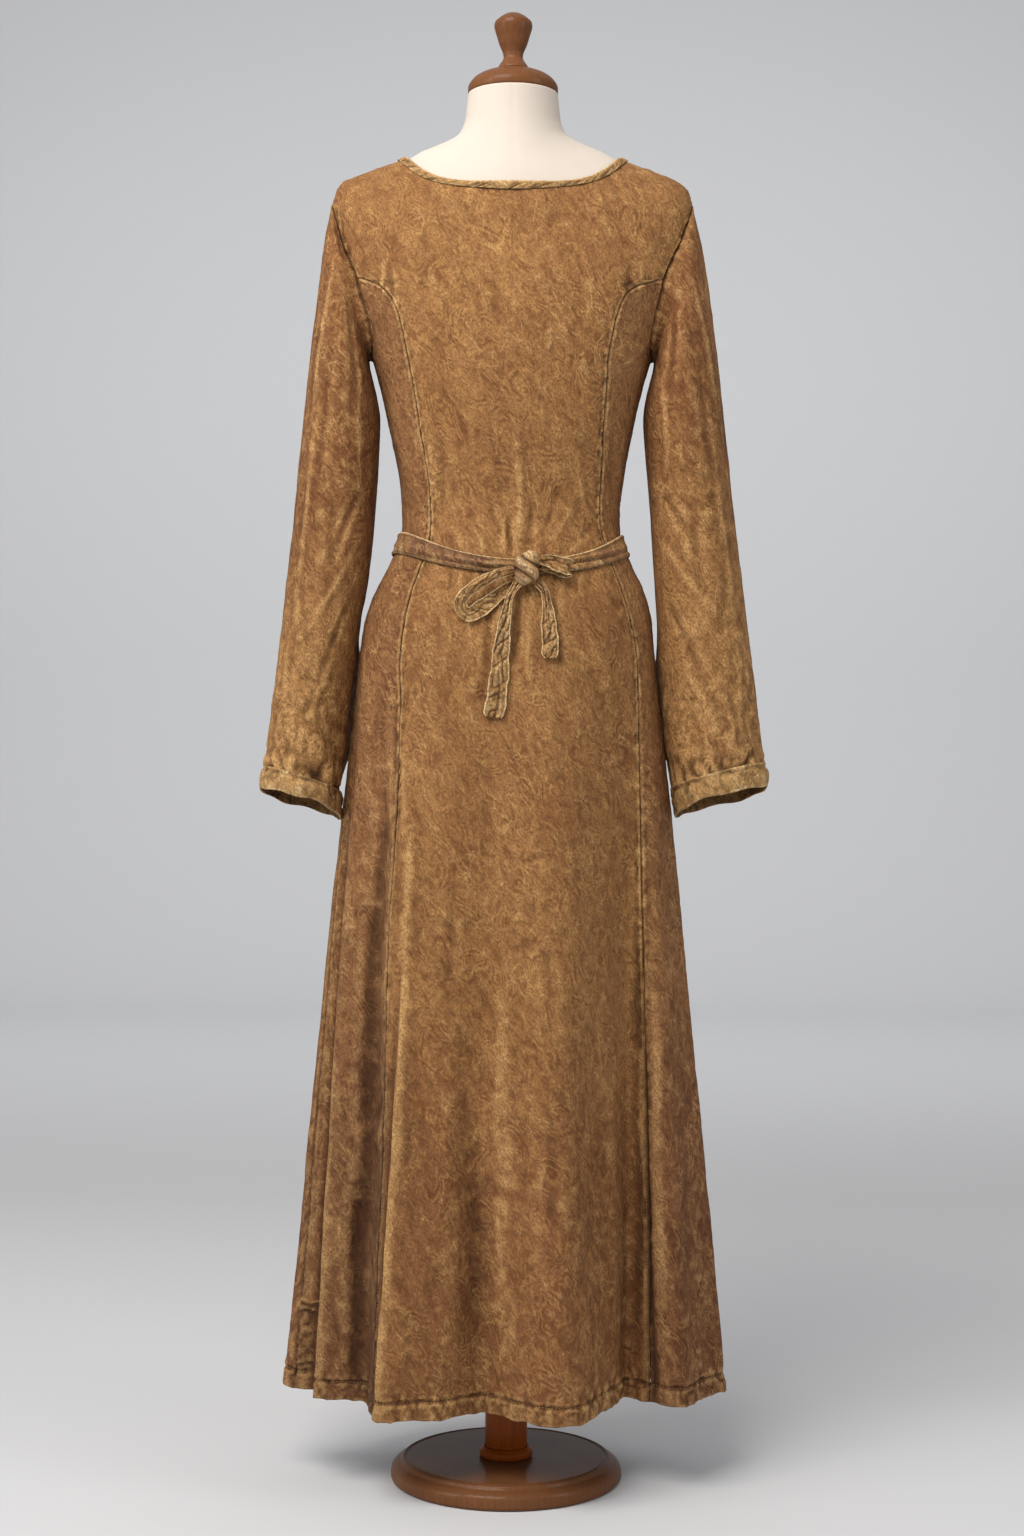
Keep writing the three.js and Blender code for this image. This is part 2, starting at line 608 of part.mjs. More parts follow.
for (const side of ['left', 'right']) {
  const sign = side === 'left' ? -1 : 1;
  const points = armholePoints(side);
  const turns = points.map((point) => point.turn);
  const rings = SLEEVES[side].map((row) => sleeveRing(row, turns, sign, 0));
  // rows run upwards from the cuff; columns go round so that the face looks outwards
  const order = (list) => (side === 'right' ? list : [...list].reverse());
  const upward = [...rings].reverse().map(order);
  const walls = ringWall(upward, WALL);
  const outer = walls.map((ring) => ring.map((point) => point.p));
  const inner = walls.map((ring) => ring.map((point) => point.q));
  const edge = order(points).map(({ u, h }) => ({ p: dress(u, h), n: dressOut(u, h) }));
  outer.push(edge.map(({ p, n }) => p.clone().addScaledVector(n, WALL + LIE)));
  inner.push(edge.map(({ p, n }) => p.clone().addScaledVector(n, LIE)));
  addWall(`sleeve_${side}`, outer, inner, true, SLEEVE_CLOTH);

  const end = SLEEVES[side][SLEEVES[side].length - 1];
  const top = { ...end, outZ: end.outZ - SEAM - 0.1, innZ: end.innZ - SEAM - 0.1 };
  const cuffRings = [top, ...CUFFS[side]].map((row) => sleeveRing(row, turns, sign, 0.5));
  const cuff = ringWall([...cuffRings].reverse().map(order), HEM_WALL);
  addWall(`cuff_${side}`, cuff.map((r) => r.map((k) => k.p)), cuff.map((r) => r.map((k) => k.q)),
    true, EDGE_CLOTH);
}

// ---------------------------------------------------------------- bow
// the cloth's outer face at the back, at a given x and height
function backTurn(x, z) {
  let low = -60;
  let high = 60;
  for (let k = 0; k < 30; k += 1) {
    const mid = (low + high) / 2;
    if (dress(mid, z).x < x) low = mid;
    else high = mid;
  }
  return (low + high) / 2;
}
const backFace = (x, z) => dress(backTurn(x, z), z).y;

// the same face with the sash on it
function restFace(x, z) {
  const u = backTurn(x, z);
  const onSash = z > sashAt(u, -1) - 3 && z < sashAt(u, 1) + 3;
  return dress(u, z).y - (onSash ? (LIE + SASH.wall) * 1.1 : 0) - LIE;
}

// moves a piece of the bow along Y until it just clears what is behind it
function seat(rings) {
  const points = rings.flat();
  const shift = Math.min(...points.map((p) => restFace(p.x, p.z) - p.y));
  for (const p of points) p.y += shift;
  return rings;
}

// a strap with a flat section, swept along a table of stations
function strap(name, stations, wall, steps, look) {
  const place = (s) => new THREE.Vector3(s.x, backFace(s.x, s.z) - s.off, s.z);
  const curve = new THREE.CatmullRomCurve3(stations.map(place), false, 'centripetal');
  const rings = [];
  for (let k = 0; k <= steps; k += 1) {
    const t = k / steps;
    const f = t * (stations.length - 1);
    const i = Math.min(stations.length - 2, Math.floor(f));
    const a = stations[i];
    const b = stations[i + 1];
    const wide = mix(a.wide, b.wide, f - i) / 2;
    const across = rad(mix(a.across, b.across, f - i));
    const p = curve.getPoint(t);
    const along = curve.getTangent(t);
    const side = new THREE.Vector3(Math.cos(across), 0, Math.sin(across));
    side.addScaledVector(along, -side.dot(along)).normalize();
    const up = along.clone().cross(side).normalize();
    const corner = (x, y) => p.clone().addScaledVector(side, x).addScaledVector(up, y);
    rings.push([corner(-wide, 0), corner(-wide * 0.7, -wall / 2), corner(wide * 0.7, -wall / 2),
      corner(wide, 0), corner(wide * 0.7, wall / 2), corner(-wide * 0.7, wall / 2)]);
  }
  return addRings(name, seat(rings), look);
}
strap('bow_loop_left', LOOP_LEFT, 2.0, 16, EDGE_CLOTH);
strap('bow_loop_right', LOOP_RIGHT, 2.0, 12, EDGE_CLOTH);
strap('bow_tail_long', TAIL_LONG, 2.0, 12, EDGE_CLOTH);
strap('bow_tail_short', TAIL_SHORT, 2.0, 9, EDGE_CLOTH);

const knotRings = [];
for (let i = 1; i < 8; i += 1) {
  const a = Math.PI * i / 8;
  const ring = [];
  for (let j = 0; j < 12; j += 1) {
    const b = 2 * Math.PI * j / 12;
    ring.push(new THREE.Vector3(
      KNOT.x + KNOT.wide * Math.sin(a) ** 0.8 * Math.cos(b),
      KNOT.deep * Math.sin(a) ** 0.8 * Math.sin(b),
      KNOT.z - KNOT.high * Math.cos(a),
    ));
  }
  knotRings.push(ring);
}
addRings('bow_knot', seat(knotRings), EDGE_CLOTH);

// ---------------------------------------------------------------- dress form
// its columns run behind the panels' columns, and its upper levels behind theirs
const formTurns = [];
for (let j = 0; j < CENTRE_COLS; j += 1) formTurns.push(mix(-90, 90, j / CENTRE_COLS));
for (let j = 0; j < FRONT_COLS; j += 1) formTurns.push(mix(90, 270, j / FRONT_COLS));
const FORM_LEVELS = [
  { h: FORM_FOOT }, { h: 850 }, { h: 909 }, { h: 950 }, { h: 990 }, { h: 1024 }, { h: 1048 },
  { h: 1076 }, { h: 1110 }, { h: 1154 }, { h: 1199 }, { h: 1243 }, { h: 1285 }, { h: 1322 },
  { h: 1355 }, { h: 1385 }, { h: 1405 }, { h: 1420 }, { h: 1440 }, { binding: true }, { h: NECK },
];
const formRings = FORM_LEVELS.map((row) => formTurns.map((u) => {
  const h = levelAt(row, u > 180 ? u - 360 : u);
  const level = Math.max(h, HIP);
  const p = section(u, level);
  p.addScaledVector(outward(section, u, level, NECK), -read(INSET, h, 'by'));
  if (h < HIP) p.z = h;
  return p;
}));
for (const row of NECK_SECTIONS) {
  formRings.push(formTurns.map((u) => {
    const s = Math.sin(rad(u));
    const c = Math.cos(rad(u));
    const end = c > 0 ? row.back : row.front;
    return new THREE.Vector3(row.half * s, -(c > 0 ? row.rear : row.fore) * c,
      end + (row.h - end) * s ** 4);
  }));
}
addRings('form_torso', formRings, LINEN);

// ---------------------------------------------------------------- stand
addTurned('stand_base', BASE_PROFILE, 48, WOOD);
addTurned('pole_collar', COLLAR_PROFILE, 32, WOOD);
addTurned('stand_pole', [[0, 24.3], [POLE_R, 24.3], [POLE_R, FORM_FOOT - 0.3], [0, FORM_FOOT - 0.3]],
  32, WOOD);
addTurned('neck_cap', CAP_PROFILE, 32, WOOD);
addTurned('finial', FINIAL_PROFILE, 24, WOOD);

export default group;
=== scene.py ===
"""A long-sleeved, princess-seamed dress in mineral-washed cotton, tied at the back with a sash
and worn by a cream dress form on a turned wooden stand.

Lengths are millimetres and turns are degrees, except for the backdrop, lights and camera, which
are in metres. Every piece is made in the frame's own place: +Z up, the tied back towards -Y, the
front towards +Y.
"""
import math

import bpy
import numpy as np
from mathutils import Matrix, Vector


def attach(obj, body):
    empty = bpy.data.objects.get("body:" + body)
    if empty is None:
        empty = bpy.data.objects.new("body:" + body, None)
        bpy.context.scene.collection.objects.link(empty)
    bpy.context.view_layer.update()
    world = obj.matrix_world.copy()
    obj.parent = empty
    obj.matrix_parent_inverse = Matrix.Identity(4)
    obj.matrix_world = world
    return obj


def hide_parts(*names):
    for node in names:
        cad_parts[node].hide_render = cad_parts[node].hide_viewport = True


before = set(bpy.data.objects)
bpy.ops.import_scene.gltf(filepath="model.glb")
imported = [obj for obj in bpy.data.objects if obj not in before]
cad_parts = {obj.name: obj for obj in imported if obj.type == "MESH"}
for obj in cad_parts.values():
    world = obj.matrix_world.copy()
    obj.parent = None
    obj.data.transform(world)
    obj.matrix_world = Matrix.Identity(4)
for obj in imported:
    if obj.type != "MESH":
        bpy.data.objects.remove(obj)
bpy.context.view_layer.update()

MM = 0.001


# ------------------------------------------------------------------ sizes of the dress
WALL, HEM_WALL = 1.5, 2.5          # single cloth, and turned-up hem or cuff
SEAM, LIE = 0.4, 0.4               # space between sewn edges, and under a piece lying on another
HEM, HIP, UNDERARM, JUNCTION, SHOULDER, NECK = 99, 909, 1243, 1330, 1420, 1466
HEM_DEEP, BINDING = 21, 10
VENT_BARS = (130, 188, 196)        # rows of stitching across the closed vent in the left side seam
SASH = dict(side=1036, dip=32, at=6, spread=84, half=12, pinch=4, wall=1.8)
FORM_FOOT, NECK_SEAM = 796, 1400
DENSE, PLAIN = 3.7, 5.0            # spacing of the cloth's mesh on the tied side and elsewhere
VENT_PANEL = "back_side_panel_left"
TUCK, PRESSED = 5.0, 0.6           # a sleeve's end inside its cuff, and cloth pressed in a seam
ARM_MID, ARM_HALF = (UNDERARM + SHOULDER) / 2, (SHOULDER - UNDERARM) / 2
SLEEVE_GRID, CUFF_GRID = (104, 172), (150, 17)      # points round the arm and along it
FOREARM = 960                      # height of the forearm's middle, below which the cloth swings in
ARM_DEGREE = 0.96                  # sleeve cloth, in mm, for each degree of turn round the arm


def table(columns, rows):
    """Rows of numbers as one array for each named column."""
    return dict(zip(columns.split(), np.array(rows, float).T))


# Sections of the worn bodice and hip: height at the sides, at the back and at the front, half
# widths, depths and how square the section is.
SECTIONS = table("h back front left right rear fore square", [
    (909, 909, 909, 168, 160, 118, 112, 2.0),
    (954, 954, 954, 161, 157, 114, 108, 2.05),
    (976, 976, 976, 153, 152, 109, 106, 2.1),
    (1020, 1020, 1020, 132, 132, 97, 100, 2.15),
    (1048, 1048, 1048, 122, 122, 91, 97, 2.2),
    (1075, 1075, 1075, 121, 121, 90, 98, 2.2),
    (1110, 1110, 1110, 124, 125, 94, 107, 2.25),
    (1154, 1154, 1154, 133, 133, 101, 124, 2.3),
    (1199, 1198, 1196, 143, 143, 106, 131, 2.3),
    (1266, 1260, 1250, 162, 162, 107, 122, 2.3),
    (1336, 1318, 1300, 183, 183, 100, 106, 2.3),
    (1388, 1357, 1334, 196, 196, 91, 95, 2.25),
    (1420, 1383, 1348, 198, 198, 85, 90, 2.2),
    (1440, 1400, 1356, 186, 186, 82, 88, 2.15),
    (1453, 1412, 1362, 154, 154, 79, 87, 2.1),
    (1466, 1424, 1368, 118, 118, 76, 86, 2.1),
])

# Folds of the skirt at the hem: turn, half spread, reach out of the hem's oval, lean along it.
VALLEY = dict(wide=192, deep=104, gain=0.92)
FOLDS = table("at spread out lean", [
    (-128, 17, 46, 0), (-96, 19, 58, 4), (-68, 14, 30, -20), (-38, 17, 60, 10),
    (-22, 15, 38, 0), (14, 23, 60, 6), (53, 21, -38, 0), (68, 16, 38, -22), (88, 18, 52, 6),
    (120, 19, 50, 8), (150, 17, 52, -8), (180, 16, 44, 6), (-156, 17, 50, 8),
])

# Princess seams and armholes: turn from the back centre on the left and right, and from the
# front centre.
SEAMS = table("h left right front", [
    (99, 44, 61, 48), (855, 43.5, 60.5, 48), (909, 45, 60, 48), (976, 44, 54, 46),
    (1048, 43.5, 52.5, 44), (1110, 45, 49.5, 44), (1150, 45.5, 46, 43), (1200, 45, 43, 42),
    (1243, 44.5, 40, 41), (1285, 44.2, 39.7, 41.5), (1310, 47, 41.5, 44.5),
    (1322, 52, 47, 50), (1330, 65.6, 62, 60.4),
])
ARMHOLE = table("h left right front", [
    (1243, 90, 90, 90), (1247, 79, 78, 77), (1260, 71, 70, 68), (1285, 68, 66.5, 63.5),
    (1310, 67.4, 65, 62), (1322, 67.2, 64.2, 61.8), (1330, 67, 63.6, 62),
    (1355, 71, 66.5, 64.5), (1385, 75.5, 73, 70), (1405, 80.5, 79.5, 77), (1420, 90, 90, 90),
])

# Sleeves from head to end, then the cuff: outer and inner edge of each section as seen from
# the back (distance from the middle, height) and half its depth.
SLEEVE_COLUMNS = "out out_z inn inn_z deep"
SLEEVES = {
    "left": table(SLEEVE_COLUMNS, [
        (203, 1402, 158.5, 1241, 52), (208, 1376, 157, 1231, 57), (213, 1338, 153.5, 1217, 61),
        (219, 1290, 149.5, 1200, 63), (225, 1236, 146, 1178, 63), (231, 1172, 146.5, 1142, 62),
        (238, 1098, 150, 1086, 60), (247, 1010, 157, 1006, 58), (256, 930, 170, 930, 57),
        (264, 860, 181, 852, 57), (272, 789, 188, 763, 58),
    ]),
    "right": table(SLEEVE_COLUMNS, [
        (203, 1402, 158.5, 1241, 52), (209, 1376, 157, 1231, 57), (216, 1338, 153.5, 1217, 61),
        (223, 1290, 149.5, 1200, 63), (230, 1236, 147, 1178, 63), (237, 1172, 149, 1142, 62),
        (245, 1098, 154, 1086, 60), (256, 1010, 159.5, 1006, 58), (266, 930, 165, 930, 57),
        (275, 860, 171, 852, 57), (284, 796, 180, 769, 58),
    ]),
}
CUFFS = {
    "left": table(SLEEVE_COLUMNS, [
        (272, 788.5, 188, 762.5, 58), (274.5, 776, 188.5, 749, 60), (276, 762, 189, 734, 59)]),
    "right": table(SLEEVE_COLUMNS, [
        (284, 795.5, 180, 768.5, 58), (285.5, 781, 183, 753, 60), (286, 767, 186, 738, 59)]),
}
TIP = 6                            # the front half of a sleeve's end hangs this much lower

# The form's neck, and how far the form stays inside the cloth's outer face.
INSET = table("h by", [
    (796, 22), (850, 12), (909, 8), (976, 8), (1048, 6), (1110, 5.5), (1199, 5.5), (1285, 5),
    (1355, 5), (1385, 5.4), (1405, 5.6), (1420, 3.6), (1440, 2.1), (1466, 2.1),
])
FORM_NECK = table("h back front half rear fore", [
    (1474, 1443, 1390, 101, 68, 76), (1481, 1458, 1414, 83, 62, 68),
    (1490, 1476, 1442, 64, 57, 60), (1503, 1495, 1472, 55, 53, 54),
    (1519, 1515, 1502, 52, 51, 51.5), (1538, 1538, 1538, 50, 50, 50),
])

# The bow: middle of each strap, its distance from the cloth behind, its width, and the
# direction across it from +X towards +Z.
KNOT = dict(x=17.5, z=1002, wide=13, high=17.5, deep=9.5)
STRAP_COLUMNS = "x z off wide across"
STRAPS = {
    "bow_loop_left": table(STRAP_COLUMNS, [
        (4, 1000, 11, 9, 112), (-9, 997, 16, 11, 116), (-26, 989, 19, 12, 122),
        (-42, 979, 18, 13, 132), (-53, 966, 13, 13, 150), (-50, 955, 8, 15, 165),
        (-40, 953, 5.5, 17, 150), (-26, 963, 4.5, 17, 130), (-9, 976, 4, 13, 122),
        (2, 987, 4.5, 9, 118)]),
    "bow_loop_right": table(STRAP_COLUMNS, [
        (31.5, 1011, 9, 9, 88), (42, 1010, 15, 14, 84), (54, 1006, 17, 18, 80),
        (63, 1003, 13, 18, 78), (59, 1001, 8.5, 16, 78), (47, 1003, 7, 13, 82),
        (33, 1004, 6.5, 8, 88)]),
    "bow_tail_long": table(STRAP_COLUMNS, [
        (8, 986, 9, 10, 10), (3, 978, 9, 8, 6), (-2, 966, 7, 9, 2), (-7, 935, 5, 15, 0),
        (-10, 905, 4, 19, 4), (-12, 880, 4.5, 21, 0), (-15, 858, 4, 22, -8),
        (-17, 843, 4, 23, -18)]),
    "bow_tail_short": table(STRAP_COLUMNS, [
        (30, 986, 9, 9, -20), (37, 976, 8, 9, -8), (40, 956, 6, 13, -2), (42, 932, 5, 18, -2),
        (43, 906, 4, 17, 3)]),
}

# ------------------------------------------------------------------ creases laid one by one
# Seen from the tied back (x to the right): both ends of the crease, how far it bows sideways,
# its half width and its height, where a trough is negative.
CREASE_COLUMNS = "x0 z0 x1 z1 bow wide high"
BACK_CREASES = table(CREASE_COLUMNS, [
    # small of the back, pulled in beside the princess seams
    (-90, 1190, -87, 1042, 2, 7, 2.6), (-75, 1155, -71, 1044, -2, 6.5, -2.8),
    (-103, 1186, -92, 1046, 1, 6, -2.0), (-65, 1132, -50, 1046, 3, 6, 1.8),
    (102, 1190, 101, 1080, 1, 6, 1.8), (114, 1186, 111, 1044, -2, 6, -2.2),
    (70, 1132, 93, 1042, -4, 5, 2.0), (61, 1120, 84, 1044, -4, 6, -1.8),
    (2, 1186, 8, 1040, 3, 9, 1.7), (-18, 1150, -10, 1050, 2, 8, -1.3),
    (30, 1140, 36, 1050, -2, 7, -1.2), (46, 1175, 50, 1085, 2, 9, 1.0),
    # cloth pouched over the knot and drawn towards it
    (7, 1124, 10, 1028, 1, 6.5, 2.0), (-2, 1062, 0, 1018, -1, 3.2, -3.8),
    (23, 1076, 19, 1034, 1, 4.5, -2.2), (-3, 1022, 38, 1024, -5, 6.0, 3.4),
    (4, 1036, 32, 1038, -4, 4.0, -1.8),
    (38, 1028, 72, 1092, -5, 6.0, 2.1), (30, 1038, 54, 1096, -3, 5.0, -1.9),
    (60, 1032, 96, 1062, -4, 5.0, -1.3), (-9, 1036, -25, 1082, 2, 4.2, -2.1),
    (-22, 1034, -47, 1098, 4, 7.0, 1.8), (-42, 1036, -70, 1072, 4, 5.5, -1.5),
    (8, 986, 2, 896, 2, 5.0, -4.0), (22, 984, 19, 880, -1, 7.0, 3.0),
    (46, 998, 56, 895, -2, 6, -2.4), (-22, 970, -30, 860, 2, 6, -2.6),
    (34, 992, 39, 925, 1, 5, 1.8),
    # upper back and shoulders
    (-99, 1350, -97, 1280, 1, 8, -1.3), (-84, 1330, -80, 1250, 2, 9, 1.2),
    (-144, 1336, -138, 1292, 2, 5, 1.8), (-134, 1338, -130, 1286, 1, 4.5, -1.6),
    (-152, 1372, -132, 1300, -3, 7, -1.5), (142, 1340, 134, 1288, 2, 5, 1.8),
    (128, 1344, 126, 1296, 0, 5, -1.4), (168, 1394, 150, 1330, 4, 8, -1.8),
    (-60, 1404, -20, 1376, -6, 9, -1.0), (30, 1372, 84, 1392, 6, 9, -1.0),
    # seat and thigh
    (-123, 872, -123, 660, 1, 6, -3.4), (-138, 790, -144, 560, 2, 10, -6.5),
    (-146, 640, -152, 400, -2, 13, -8.0), (-151, 470, -161, 240, 2, 14, -8.0),
    (-159, 320, -167, 100, 1, 14, -7.0), (-107, 730, -112, 500, 1, 9, 4.2),
    (-111, 570, -122, 330, 1, 9, 3.8), (-61, 690, -66, 510, 2, 11, -2.8),
    (-48, 520, -35, 290, -3, 17, -3.2), (-36, 360, -31, 100, 2, 18, -3.2),
    (-12, 640, -3, 340, 3, 15, 2.8), (-4, 410, 0, 100, 0, 17, 3.1),
    (42, 600, 45, 470, 1, 9, -2.2), (45, 430, 49, 250, 1, 11, -2.6),
    (110, 500, 114, 180, 2, 16, 3.0), (139, 640, 142, 400, 1, 10, -5.0),
    (142, 470, 149, 104, -2, 11, -6.0), (156, 580, 165, 200, 2, 11, 4.0),
    (49, 930, 55, 750, 2, 10, -1.3), (-58, 946, -52, 850, -2, 9, -1.2),
    (88, 900, 98, 780, 3, 11, -1.2), (-20, 800, -32, 690, 3, 8, -1.2),
    (78, 720, 66, 640, 2, 8, -1.0), (20, 690, 12, 600, -2, 9, 1.0),
    (-136, 412, -146, 380, 1, 4, 1.8), (-132, 450, -148, 408, 1, 4, -1.6),
    (82, 330, 76, 200, 3, 11, -1.3), (-78, 300, -84, 170, 2, 10, -1.2),
    (188, 420, 200, 190, 3, 9, -2.0), (-196, 520, -212, 260, 3, 9, 1.8),
])
# Folds that lie one over the next low in the skirt: the edge's ends, how far the fold stands
# out, how deep the cloth beside it sinks, and how wide it is; over is 1 where the right one lies
# on top.
FOLD_EDGES = table("x0 z0 x1 z1 stand sink wide over", [
    (-109, 610, -139.5, 110, 3.4, 5.4, 20, 1), (-172, 800, -210, 110, 2.4, 5.5, 15, 1),
    (143, 530, 156, 110, 2.0, 3.5, 15, -1),
])
# The same on the front, where the bust, the waist and the skirt's front folds pull.
FRONT_CREASES = table(CREASE_COLUMNS, [
    (-70, 1190, -66, 1046, 2, 7, -2.4), (-56, 1160, -50, 1050, -2, 7, 2.0),
    (74, 1186, 68, 1046, -2, 7, -2.2), (58, 1150, 54, 1050, 2, 6, 1.8),
    (-14, 1160, -10, 1052, 2, 9, -1.4), (20, 1140, 16, 1050, -3, 8, 1.4),
    (-126, 1300, -70, 1250, 8, 9, -1.8), (124, 1304, 72, 1248, -8, 9, -1.8),
    (-50, 1330, -12, 1290, 6, 10, -1.2), (46, 1334, 16, 1288, -6, 10, -1.2),
    (-92, 1010, -104, 880, 3, 8, -2.0), (-30, 1012, -38, 890, 2, 8, -1.6),
    (34, 1010, 40, 860, -3, 9, -1.8), (96, 1008, 106, 890, -3, 8, 1.6),
    (-120, 700, -132, 420, 4, 12, -3.4), (-66, 760, -74, 520, -3, 12, -2.2),
    (-8, 740, -4, 380, 5, 14, 2.0), (44, 640, 52, 330, -4, 13, -2.4),
    (104, 720, 122, 400, 4, 11, -3.0), (-24, 420, -30, 130, 3, 15, -2.4),
    (84, 360, 92, 120, 3, 12, -2.2), (-96, 330, -104, 118, -2, 12, 2.0),
    (150, 480, 166, 170, 3, 10, -2.4), (-158, 520, -176, 200, -3, 10, 2.2),
])
# Cloth gathered against the sash: place along the sash (from the knot), length above and
# below, lean, half width and height of each little pleat.
GATHERS = table("x up down lean wide high", [
    (-96, 20, 34, -3, 4.5, -1.6), (-84, 44, 60, -4, 5.0, 1.5), (-71, 36, 50, -5, 4.0, -2.0),
    (-60, 52, 66, -8, 5.0, 1.8), (-49, 30, 52, -6, 4.0, -2.4), (-37, 62, 80, -9, 5.0, 2.2),
    (-27, 40, 60, -7, 4.2, -3.0), (-16, 66, 92, -4, 4.6, 2.6), (-8, 58, 70, -2, 4.0, -3.2),
    (0, 84, 64, 1, 4.6, 2.8), (8, 40, 80, 3, 3.6, -3.4), (17, 72, 96, 5, 4.4, 2.6),
    (26, 44, 66, 8, 4.2, -3.0), (38, 60, 84, 10, 5.4, 2.4), (50, 36, 56, 8, 4.4, -2.2),
    (62, 56, 62, 9, 5.0, 1.8), (75, 30, 48, 6, 4.6, -1.8), (88, 42, 40, 4, 5.0, 1.4),
])
# Sleeve creases: turn round the sleeve and distance down it for both ends, half width, height.
SLEEVE_CREASES = table("turn0 s0 turn1 s1 wide high", [
    (62, 30, 48, 190, 6, 1.8), (78, 60, 66, 260, 8, -2.0), (54, 180, 60, 420, 7, 1.6),
    (100, 20, 118, 150, 8, -2.2), (118, 90, 128, 260, 7, 1.8), (88, 250, 104, 380, 8, -1.8),
    (128, 240, 96, 330, 6, -2.0), (134, 300, 84, 400, 6, 1.8), (138, 360, 100, 470, 6, -2.0),
    (50, 330, 92, 430, 7, -1.6), (44, 420, 80, 540, 7, 1.6), (120, 430, 84, 560, 6, 1.8),
    (66, 470, 74, 600, 6, -1.8), (104, 480, 112, 610, 5, 1.6), (36, 500, 48, 600, 6, -1.4),
    (92, 540, 86, 640, 5, -1.8), (56, 560, 64, 640, 4, 1.6), (126, 540, 130, 640, 4, -1.6),
    (-60, 40, -52, 260, 8, -2.0), (-92, 20, -104, 180, 8, 1.8), (-120, 220, -70, 360, 8, -2.0),
    (-134, 320, -84, 420, 7, 1.8), (-60, 380, -78, 560, 7, -1.8), (-100, 440, -112, 620, 6, 1.6),
    (-40, 470, -50, 620, 6, -1.6), (-84, 540, -80, 640, 5, 1.6), (20, 120, 24, 330, 7, -1.4),
    (-16, 300, -10, 500, 8, 1.4), (160, 260, 168, 420, 7, 1.6), (-160, 200, -150, 400, 7, -1.6),
])


# ------------------------------------------------------------------ reading the tables
def bump(x):
    return np.where(np.abs(x) < 1, np.cos(np.pi / 2 * np.clip(x, -1, 1)) ** 2, 0.0)


def bell(x, wide):
    """1 where x is 0, falling away to 0 on both sides within about twice the width."""
    return np.exp(-(x / wide) ** 2)


def norm(vectors):
    return np.linalg.norm(vectors, axis=-1)


def unit(vectors, least=0.0):
    return vectors / (norm(vectors)[..., None] + least)


def signed_power(x, power):
    return np.sign(x) * np.abs(x) ** power


def ease(x, low, high):
    """0 below low, 1 above high and smooth between them."""
    t = np.clip((x - low) / (high - low), 0, 1)
    return t * t * (3 - 2 * t)


def cubic(x, knots, values, slopes):
    i = np.clip(np.searchsorted(knots, x, "right") - 1, 0, len(knots) - 2)
    w = knots[i + 1] - knots[i]
    t = (x - knots[i]) / w
    return ((2 * t ** 3 - 3 * t ** 2 + 1) * values[i] + (t ** 3 - 2 * t ** 2 + t) * slopes[i] * w
            + (3 * t ** 2 - 2 * t ** 3) * values[i + 1] + (t ** 3 - t ** 2) * slopes[i + 1] * w)


def smooth(rows, name, h):
    """A column read with a curve through its rows."""
    knots, values = rows["h"], rows[name]
    gaps = np.diff(knots)
    steps = np.diff(values) / gaps
    inner = (steps[:-1] * gaps[1:] + steps[1:] * gaps[:-1]) / (gaps[1:] + gaps[:-1])
    return cubic(h, knots, values, np.concatenate([steps[:1], inner, steps[-1:]]))


def steady(rows, name, h):
    """A column read with a curve that never passes its rows, for seam lines."""
    knots, values = rows["h"], rows[name]
    steps = np.diff(values) / np.diff(knots)
    a, b = steps[:-1], steps[1:]
    inner = np.where(a * b > 0, 2 * a * b / np.where(a + b == 0, 1, a + b), 0)
    h = np.clip(h, knots[0], knots[-1])
    return cubic(h, knots, values, np.concatenate([steps[:1], inner, steps[-1:]]))


def lumps(points, size, seed):
    """Smooth random heights from -1 to 1, the given size across (a number or one per axis)."""
    cell = points / size + seed * 17.3
    low = np.floor(cell).astype(np.int64)
    f = cell - low
    f = f * f * (3 - 2 * f)
    total = 0
    for corner in np.ndindex(2, 2, 2):
        at = low + corner
        mixed = (at[..., 0] * 73856093) ^ (at[..., 1] * 19349663) ^ (at[..., 2] * 83492791)
        mixed = (mixed * 2654435761 + seed * 97) & 0xFFFFFFFF
        mixed = ((mixed ^ (mixed >> 15)) * 2246822519) & 0xFFFFFFFF
        weight = np.prod(np.where(corner, f, 1 - f), axis=-1)
        total = total + weight * ((mixed >> 8) / 8388607.5 - 1)
    return total


def billow(points, size, seed):
    """Crumpled cloth, -0.5 to 0.5: soft puffs that meet in sharp, uneven valleys."""
    return np.abs(lumps(points, size, seed)) ** 0.6 - 0.5


# ------------------------------------------------------------------ the worn surface
def section(u, h):
    """The bodice and hip: u turns from the back centre towards +X, h is the side's height."""
    s, c = np.sin(np.radians(u)), np.cos(np.radians(u))
    get = {name: smooth(SECTIONS, name, h) for name in SECTIONS if name != "h"}
    power = 2 / get["square"]
    end = np.where(c > 0, get["back"], get["front"])
    return np.stack([
        np.where(s > 0, get["right"], get["left"]) * signed_power(s, power),
        -np.where(c > 0, get["rear"], get["fore"]) * signed_power(c, power),
        end + (h - end) * s ** 4,
    ], axis=-1)


def hem_line(u):
    """The hem seen from above: an inner oval with the folds standing out of it."""
    s, c = np.sin(np.radians(u)), np.cos(np.radians(u))
    normal = unit(np.stack([s / VALLEY["wide"], -c / VALLEY["deep"]], axis=-1))
    along = np.stack([-normal[..., 1], normal[..., 0]], axis=-1)
    p = np.stack([VALLEY["wide"] * s, -VALLEY["deep"] * c], axis=-1)
    for at, spread, out, lean in zip(*FOLDS.values()):
        size = bump(((u - at + 540) % 360 - 180) / spread)[..., None]
        p = p + size * (out * normal + lean * along)
    return p


